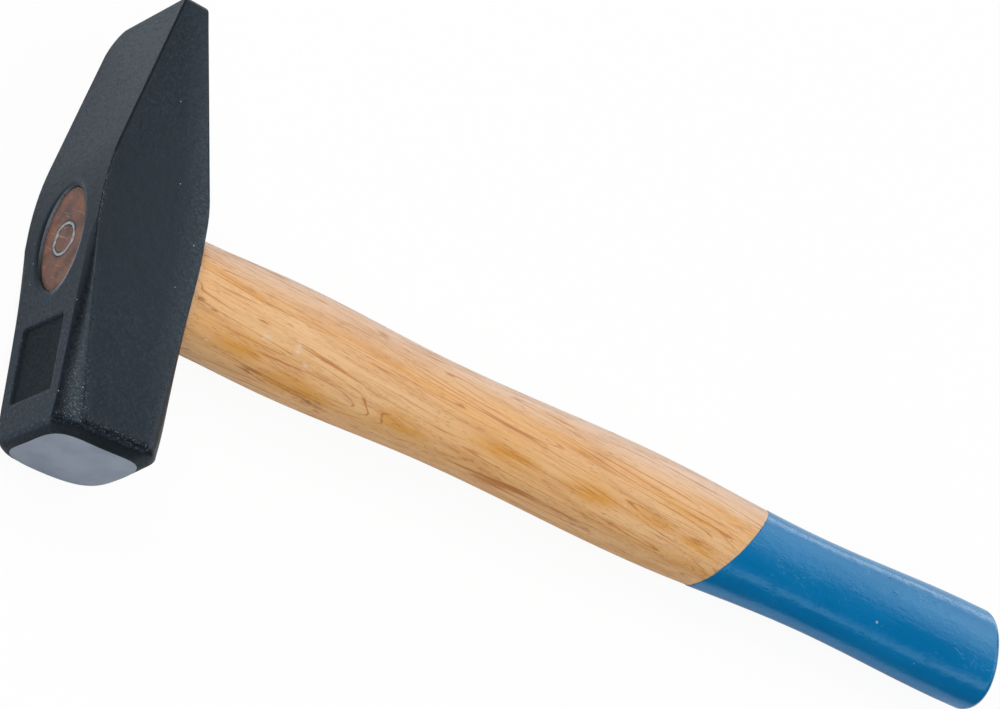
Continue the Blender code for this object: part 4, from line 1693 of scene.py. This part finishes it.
@dataclass
class Handle(SubAssembly):
    """Oval wooden handle, double waisted, with a tongue that fills the eye."""

    form: HandleForm
    eye: Eye
    wedge: RingWedge
    node: str = "handle"
    slot: str = "handle_wood"
    tongue_x: float = limit("handle", 0, Side.LOW)
    end_sunk: float = 0.00020
    fit: float = 0.00006
    rim_round: float = 0.00025
    groove_lip: float = 0.6
    core_shares: tuple[float, ...] = (0.08, 0.3, 0.55, 0.8, 0.95)
    end_shares: tuple[float, ...] = (0.12, 0.25, 0.4, 0.55, 0.7, 0.85, 1.0)
    cover: float = 0.00065
    cover_starts: float = 0.0008
    bare_past_edge: float = 0.0004
    sway: float = 0.00007
    sway_size: Triple = (0.045, 0.012, 0.012)
    sway_starts: float = 0.01
    shoulder_lead: float = 0.1
    rim_rings: int = 5
    tongue_sections: int = 20
    shoulder_sections: int = 10
    bare_sections: int = 180
    crushed_by_ring: float = 0.0005
    crushed_by_eye: Pair = (0.9, 1.0)
    ring_crush: float = 0.7
    eye_crush: float = 0.6
    sharp: float = math.radians(50)
    wood: VarnishedWood = VarnishedWood()
    end_grain: EndGrain = EndGrain()

    def build(self) -> bpy.types.Object:
        """Lofts the end grain, the tongue, the bare wood and the covered butt, dresses and seats them.

        Returns:
            The handle.
        """
        end = self.end_rings()
        rest = self.tongue_rings() + self.shoulder_rings() + self.bare_rings()
        rest += self.form.below(self.form.coat_edge_x + self.cover_starts, self.cover)
        picks = [1] * len(end) + [0] * (len(rest) - 1)
        finishes = (self.wood.material(), self.end_grain.material())
        piece = skin("wooden_handle", np.stack(end + rest), finishes, picks)
        piece.data.set_sharp_from_angle(angle=self.sharp)
        self.dress(piece)
        return self.seat(piece)

    def tongue(self, x: float, inset: float = 0.0) -> np.ndarray:
        """Ring round the tongue, which is driven tight into the eye."""
        half_y, half_z = self.eye.half_sizes(x)
        return oval(x, half_y - self.fit - inset, half_z - self.fit - inset, self.form.around)

    def end_x(self) -> float:
        """Place of the end grain, sunk a little below the ring wedge."""
        return self.tongue_x + self.end_sunk

    def circle(self, x: float, radius: float) -> np.ndarray:
        """Ring of points round the handle's axis."""
        return oval(x, radius, radius, self.form.around)

    def end_rings(self) -> list[np.ndarray]:
        """End face of the tongue from its middle out, with the groove that the ring is driven into.

        Returns:
            The rings in order.
        """
        top, wedge = self.end_x(), self.wedge
        inner, outer = wedge.radius - wedge.wall - self.fit, wedge.radius + self.fit
        foot = (wedge.tip_radius - wedge.tip_wall - self.fit, wedge.tip_radius + self.fit)
        rings = [self.circle(top, share * inner) for share in self.core_shares]
        rings.append(self.circle(top + self.rim_round, inner))
        rings += [self.circle(wedge.tip_x + self.fit, radius) for radius in foot]
        start = self.circle(top, outer + self.rim_round * self.groove_lip)
        rings += [self.circle(top + self.rim_round, outer), start]
        rim = self.tongue(top, self.rim_round)
        rings += [start + (rim - start) * share for share in self.end_shares]
        return rings

    def tongue_rings(self) -> list[np.ndarray]:
        """Sides of the tongue, from its round rim to the handle side of the head.

        Returns:
            The rings in order.
        """
        rings = []
        for turn in np.linspace(np.pi / 2, 0.0, self.rim_rings)[1:]:
            x = self.end_x() + self.rim_round * (1.0 - np.sin(turn))
            rings.append(self.tongue(x, self.rim_round * (1.0 - np.cos(turn))))
        stations = np.linspace(self.end_x() + self.rim_round, self.eye.under_x, self.tongue_sections)[1:]
        return rings + [self.tongue(x) for x in stations]

    def shoulder_rings(self) -> list[np.ndarray]:
        """The handle swells from the tongue to its full section just under the head.

        Returns:
            The rings in order.
        """
        under, first = self.eye.under_x, self.form.swells[0][0]
        tongue, full = self.tongue(under), self.form.ring(first, 0.0, self.form.end_x, 0.0)
        rings = []
        for share in np.linspace(0.0, 1.0, self.shoulder_sections)[1:-1]:
            ring = ease(tongue, full, share + self.shoulder_lead * (1.0 - share))
            ring[:, 0] = under + (first - under) * share
            rings.append(ring)
        return rings

    def bare_rings(self) -> list[np.ndarray]:
        """Bare wood from the shoulder to the edge of the coat, with the slight sway of sanded wood.

        Returns:
            The rings in order.
        """
        first, last = self.form.swells[0][0], self.form.coat_edge_x + self.bare_past_edge
        rings = []
        for station in np.linspace(first, last, self.bare_sections):
            ring = self.form.ring(station, 0.0, self.form.end_x)
            hold = ramp(ring[:, 0], first, first + self.sway_starts)
            rings.append(self.form.sunk(ring, self.sway * hold * hollows(ring, self.sway_size, 3)))
        return rings

    def dress(self, piece: bpy.types.Object) -> None:
        """Marks the wood crushed round the ring and against the eye.

        Args:
            piece: the lofted handle.
        """
        _, y, z = vertex_places(piece).T
        by_ring = ramp(abs(np.hypot(y, z - AXIS_Z) - self.wedge.radius), self.crushed_by_ring, 0.0)
        half_y, half_z = (half - self.fit for half in self.eye.half_sizes(self.end_x()))
        by_eye = ramp(np.hypot(y / half_y, (z - AXIS_Z) / half_z), *self.crushed_by_eye)
        mark(piece, "crushed", np.clip(self.ring_crush * by_ring + self.eye_crush * by_eye, 0.0, 1.0))


@dataclass
class DipCoat(SubAssembly):
    """Blue lacquer on the butt, dipped at a slant, with a raised and slightly ragged edge."""

    form: HandleForm
    node: str = "dip_coat"
    slot: str = "coat_blue"
    proud: float = 0.00015
    thickness: float = 0.0005
    inner_starts: float = 0.0006
    edge_steps: tuple[Pair, ...] = ((0.0, -0.1), (0.00003, 0.35), (0.0001, 0.75), (0.00022, 0.95))
    edge_width: float = 0.0005
    ragged: float = 0.00030
    ragged_size: float = 0.0024
    broad_size: float = 0.0096
    fine_share: float = 0.6
    broad_share: float = 0.8
    ragged_reach: float = 0.003
    peel: float = 0.000035
    peel_size: Triple = (0.0060, 0.0030, 0.0030)
    sections: int = 190
    sharp: float = math.radians(60)
    lacquer: BlueDip = BlueDip()

    def build(self) -> bpy.types.Object:
        """Lofts the cup from its outer side round the edge to its inner side, dresses and seats it.

        Returns:
            The coat.
        """
        inside = self.form.below(self.form.coat_edge_x + self.inner_starts, self.thickness - self.proud)
        piece = skin("blue_dip", np.stack(self.outside()[::-1] + inside), (self.lacquer.material(),))
        piece.data.set_sharp_from_angle(angle=self.sharp)
        return self.seat(piece)

    def edge_shift(self) -> np.ndarray:
        """How far the edge of the coat runs on or stops short, point by point round the handle.

        Returns:
            Distances along X.
        """
        ring = self.form.ring(self.form.coat_edge_x, 0.0, self.form.end_x)
        fine = waver(ring, (self.ragged_size,) * 3, 7)
        broad = waver(ring, (self.broad_size,) * 3, 8)
        return self.ragged * (self.fine_share * fine + self.broad_share * broad)

    def outside(self) -> list[np.ndarray]:
        """Outer side of the coat, from its edge to the middle of the butt.

        Returns:
            The rings in order.
        """
        first, end_x = self.form.coat_edge_x, self.form.end_x + self.proud
        shift = self.edge_shift()
        rings = []
        for back, height in self.edge_steps:
            edge = first + back + shift
            rings.append(self.form.ring(edge, -self.proud * height, end_x, self.form.coat_slant))
        body = []
        for station in np.linspace(first + self.edge_width, end_x - self.form.butt_round, self.sections)[:-1]:
            hold = math.exp(-(station - first) / self.ragged_reach)
            body.append(self.form.ring(station + shift * hold, -self.proud, end_x, self.form.slant(station)))
        return rings + [self.peeled(ring) for ring in body + self.form.butt(-self.proud, end_x)]

    def peeled(self, ring: np.ndarray) -> np.ndarray:
        """Sinks the points of a ring by the slight orange peel of the coat."""
        return self.form.sunk(ring, self.peel * hollows(ring, self.peel_size, 9))


@dataclass(frozen=True)
class SoftBox:
    """A soft studio lamp."""

    name: str
    centre: Triple
    aim: Triple
    size: Pair
    radiance: float
    tint: Colour = (1.0, 1.0, 1.0)

    def build(self) -> bpy.types.Object:
        """Hangs the lamp and points it.

        Returns:
            The lamp.
        """
        lamp = bpy.data.lights.new(self.name, "AREA")
        lamp.shape = "RECTANGLE"
        lamp.size, lamp.size_y = self.size
        lamp.energy = self.radiance * math.pi * self.size[0] * self.size[1]
        lamp.color = self.tint
        hung = bpy.data.objects.new(self.name, lamp)
        hung.location = self.centre
        hung.rotation_euler = (Vector(self.centre) - Vector(self.aim)).to_track_quat("Z", "Y").to_euler()
        hung.visible_camera = False
        bpy.context.scene.collection.objects.link(hung)
        return hung


@dataclass
class Studio:
    """Pale floor that the hammer lies on, soft lamps, dim room and camera."""

    rest_x: float = 0.0160
    butt_x: float = 0.3250
    butt_z: float = limit("dip_coat", 2, Side.LOW)
    floor_half: float = 12.0
    paper: PaleFloor = PaleFloor()
    room: Colour = (0.225, 0.23, 0.235)
    room_in_gloss: float = 0.3
    lamps: tuple[SoftBox, ...] = (
        SoftBox("overhead_lamp", (-0.05, 0.52, 0.96), (0.05, 0.0, 0.02), (0.50, 0.36), 3.6),
        SoftBox("bevel_lamp", (-0.656, 0.307, 0.918), (0.0, -0.04, 0.03), (0.36, 0.56), 6.0,
                (1.0, 0.90, 0.82)),
        SoftBox("back_lamp", (1.00, 1.00, 0.43), (0.20, 0.0, 0.02), (1.10, 0.82), 1.00),
        SoftBox("horizon_lamp", (1.00, 1.05, 0.12), (0.20, 0.0, 0.02), (1.10, 0.20), 1.8),
        SoftBox("edge_lamp", (0.95, 0.58, 0.61), (0.20, 0.0, 0.02), (0.45, 0.45), 0.60),
        SoftBox("butt_lamp", (1.14, 0.22, 0.50), (0.33, 0.0, 0.02), (0.30, 0.30), 2.3),
        SoftBox("swell_lamp", (0.479, 0.105, 0.185), (0.315, 0.0, 0.03), (0.09, 0.09), 0.9),
        SoftBox("cheek_lamp", (0.475, 0.315, 0.525), (0.02, 0.0, 0.03), (0.22, 0.22), 3.3),
        SoftBox("side_lamp", (0.92, -0.56, 0.69), (0.25, 0.0, 0.02), (1.00, 0.18), 1.6),
        SoftBox("front_lamp", (-0.32, -0.52, 1.02), (0.10, 0.0, 0.02), (1.00, 0.60), 3.0),
    )
    eye_point: Triple = (-0.39223, -0.36320, 0.67465)
    right: Triple = (0.74346, 0.11648, 0.65856)
    up: Triple = (-0.35925, 0.90014, 0.24635)
    back: Triple = (-0.56410, -0.41973, 0.71106)
    lens: float = 118.17
    sensor: float = 36.0
    view_end: float = 60.0

    def build(self) -> None:
        """Lays the floor, hangs the lamps, lights the room and sets up the camera."""
        self.lay_floor()
        for lamp in self.lamps:
            lamp.build()
            LOG.info("%s hung", lamp.name)
        self.light_room()
        self.set_camera()

    def light_room(self) -> None:
        """Fills the room with dim light, dimmer still where it is mirrored in a gloss."""
        world = bpy.data.worlds.new("studio_room")
        world.use_nodes = True
        nodes, links = world.node_tree.nodes, world.node_tree.links
        background, rays = nodes["Background"], nodes.new("ShaderNodeLightPath")
        dim = nodes.new("ShaderNodeMapRange")
        dim.inputs["To Min"].default_value = 1.0
        dim.inputs["To Max"].default_value = self.room_in_gloss
        links.new(rays.outputs["Is Glossy Ray"], dim.inputs["Value"])
        links.new(dim.outputs["Result"], background.inputs["Strength"])
        background.inputs["Color"].default_value = (*self.room, 1.0)
        bpy.context.scene.world = world

    def lay_floor(self) -> None:
        """Lays a floor that touches the lower cheek and the butt, which tilts it a little."""
        slope = self.butt_z / (self.butt_x - self.rest_x)
        corners = []
        for x, y in ((-1, -1), (1, -1), (1, 1), (-1, 1)):
            x, y = x * self.floor_half, y * self.floor_half
            corners.append((x, y, (x - self.rest_x) * slope))
        mesh = bpy.data.meshes.new("floor")
        mesh.from_pydata(corners, [], [(0, 1, 2, 3)])
        mesh.materials.append(self.paper.material())
        floor = bpy.data.objects.new("floor", mesh)
        bpy.context.scene.collection.objects.link(floor)
        LOG.info("floor laid at a slope of %.4f", slope)

    def set_camera(self) -> None:
        """Puts the camera where the photograph was taken from."""
        camera = bpy.data.cameras.new("photo_camera")
        camera.lens = self.lens
        camera.sensor_width = self.sensor
        camera.clip_end = self.view_end
        stand = bpy.data.objects.new("photo_camera", camera)
        turn = Matrix((self.right, self.up, self.back)).transposed().to_4x4()
        stand.matrix_world = Matrix.Translation(self.eye_point) @ turn
        bpy.context.scene.collection.objects.link(stand)
        bpy.context.scene.camera = stand


def main() -> None:
    """Builds the hammer, piece by piece, and the studio round it."""
    logging.basicConfig(level=logging.INFO, format="%(message)s")
    bpy.context.scene.view_settings.view_transform = "Standard"
    eye, form, wedge = Eye(), HandleForm(), RingWedge()
    for sub_assembly in (HammerHead(eye), Handle(form, eye, wedge), wedge, DipCoat(form)):
        sub_assembly.build()
    Studio().build()


if __name__ == "__main__":
    main()
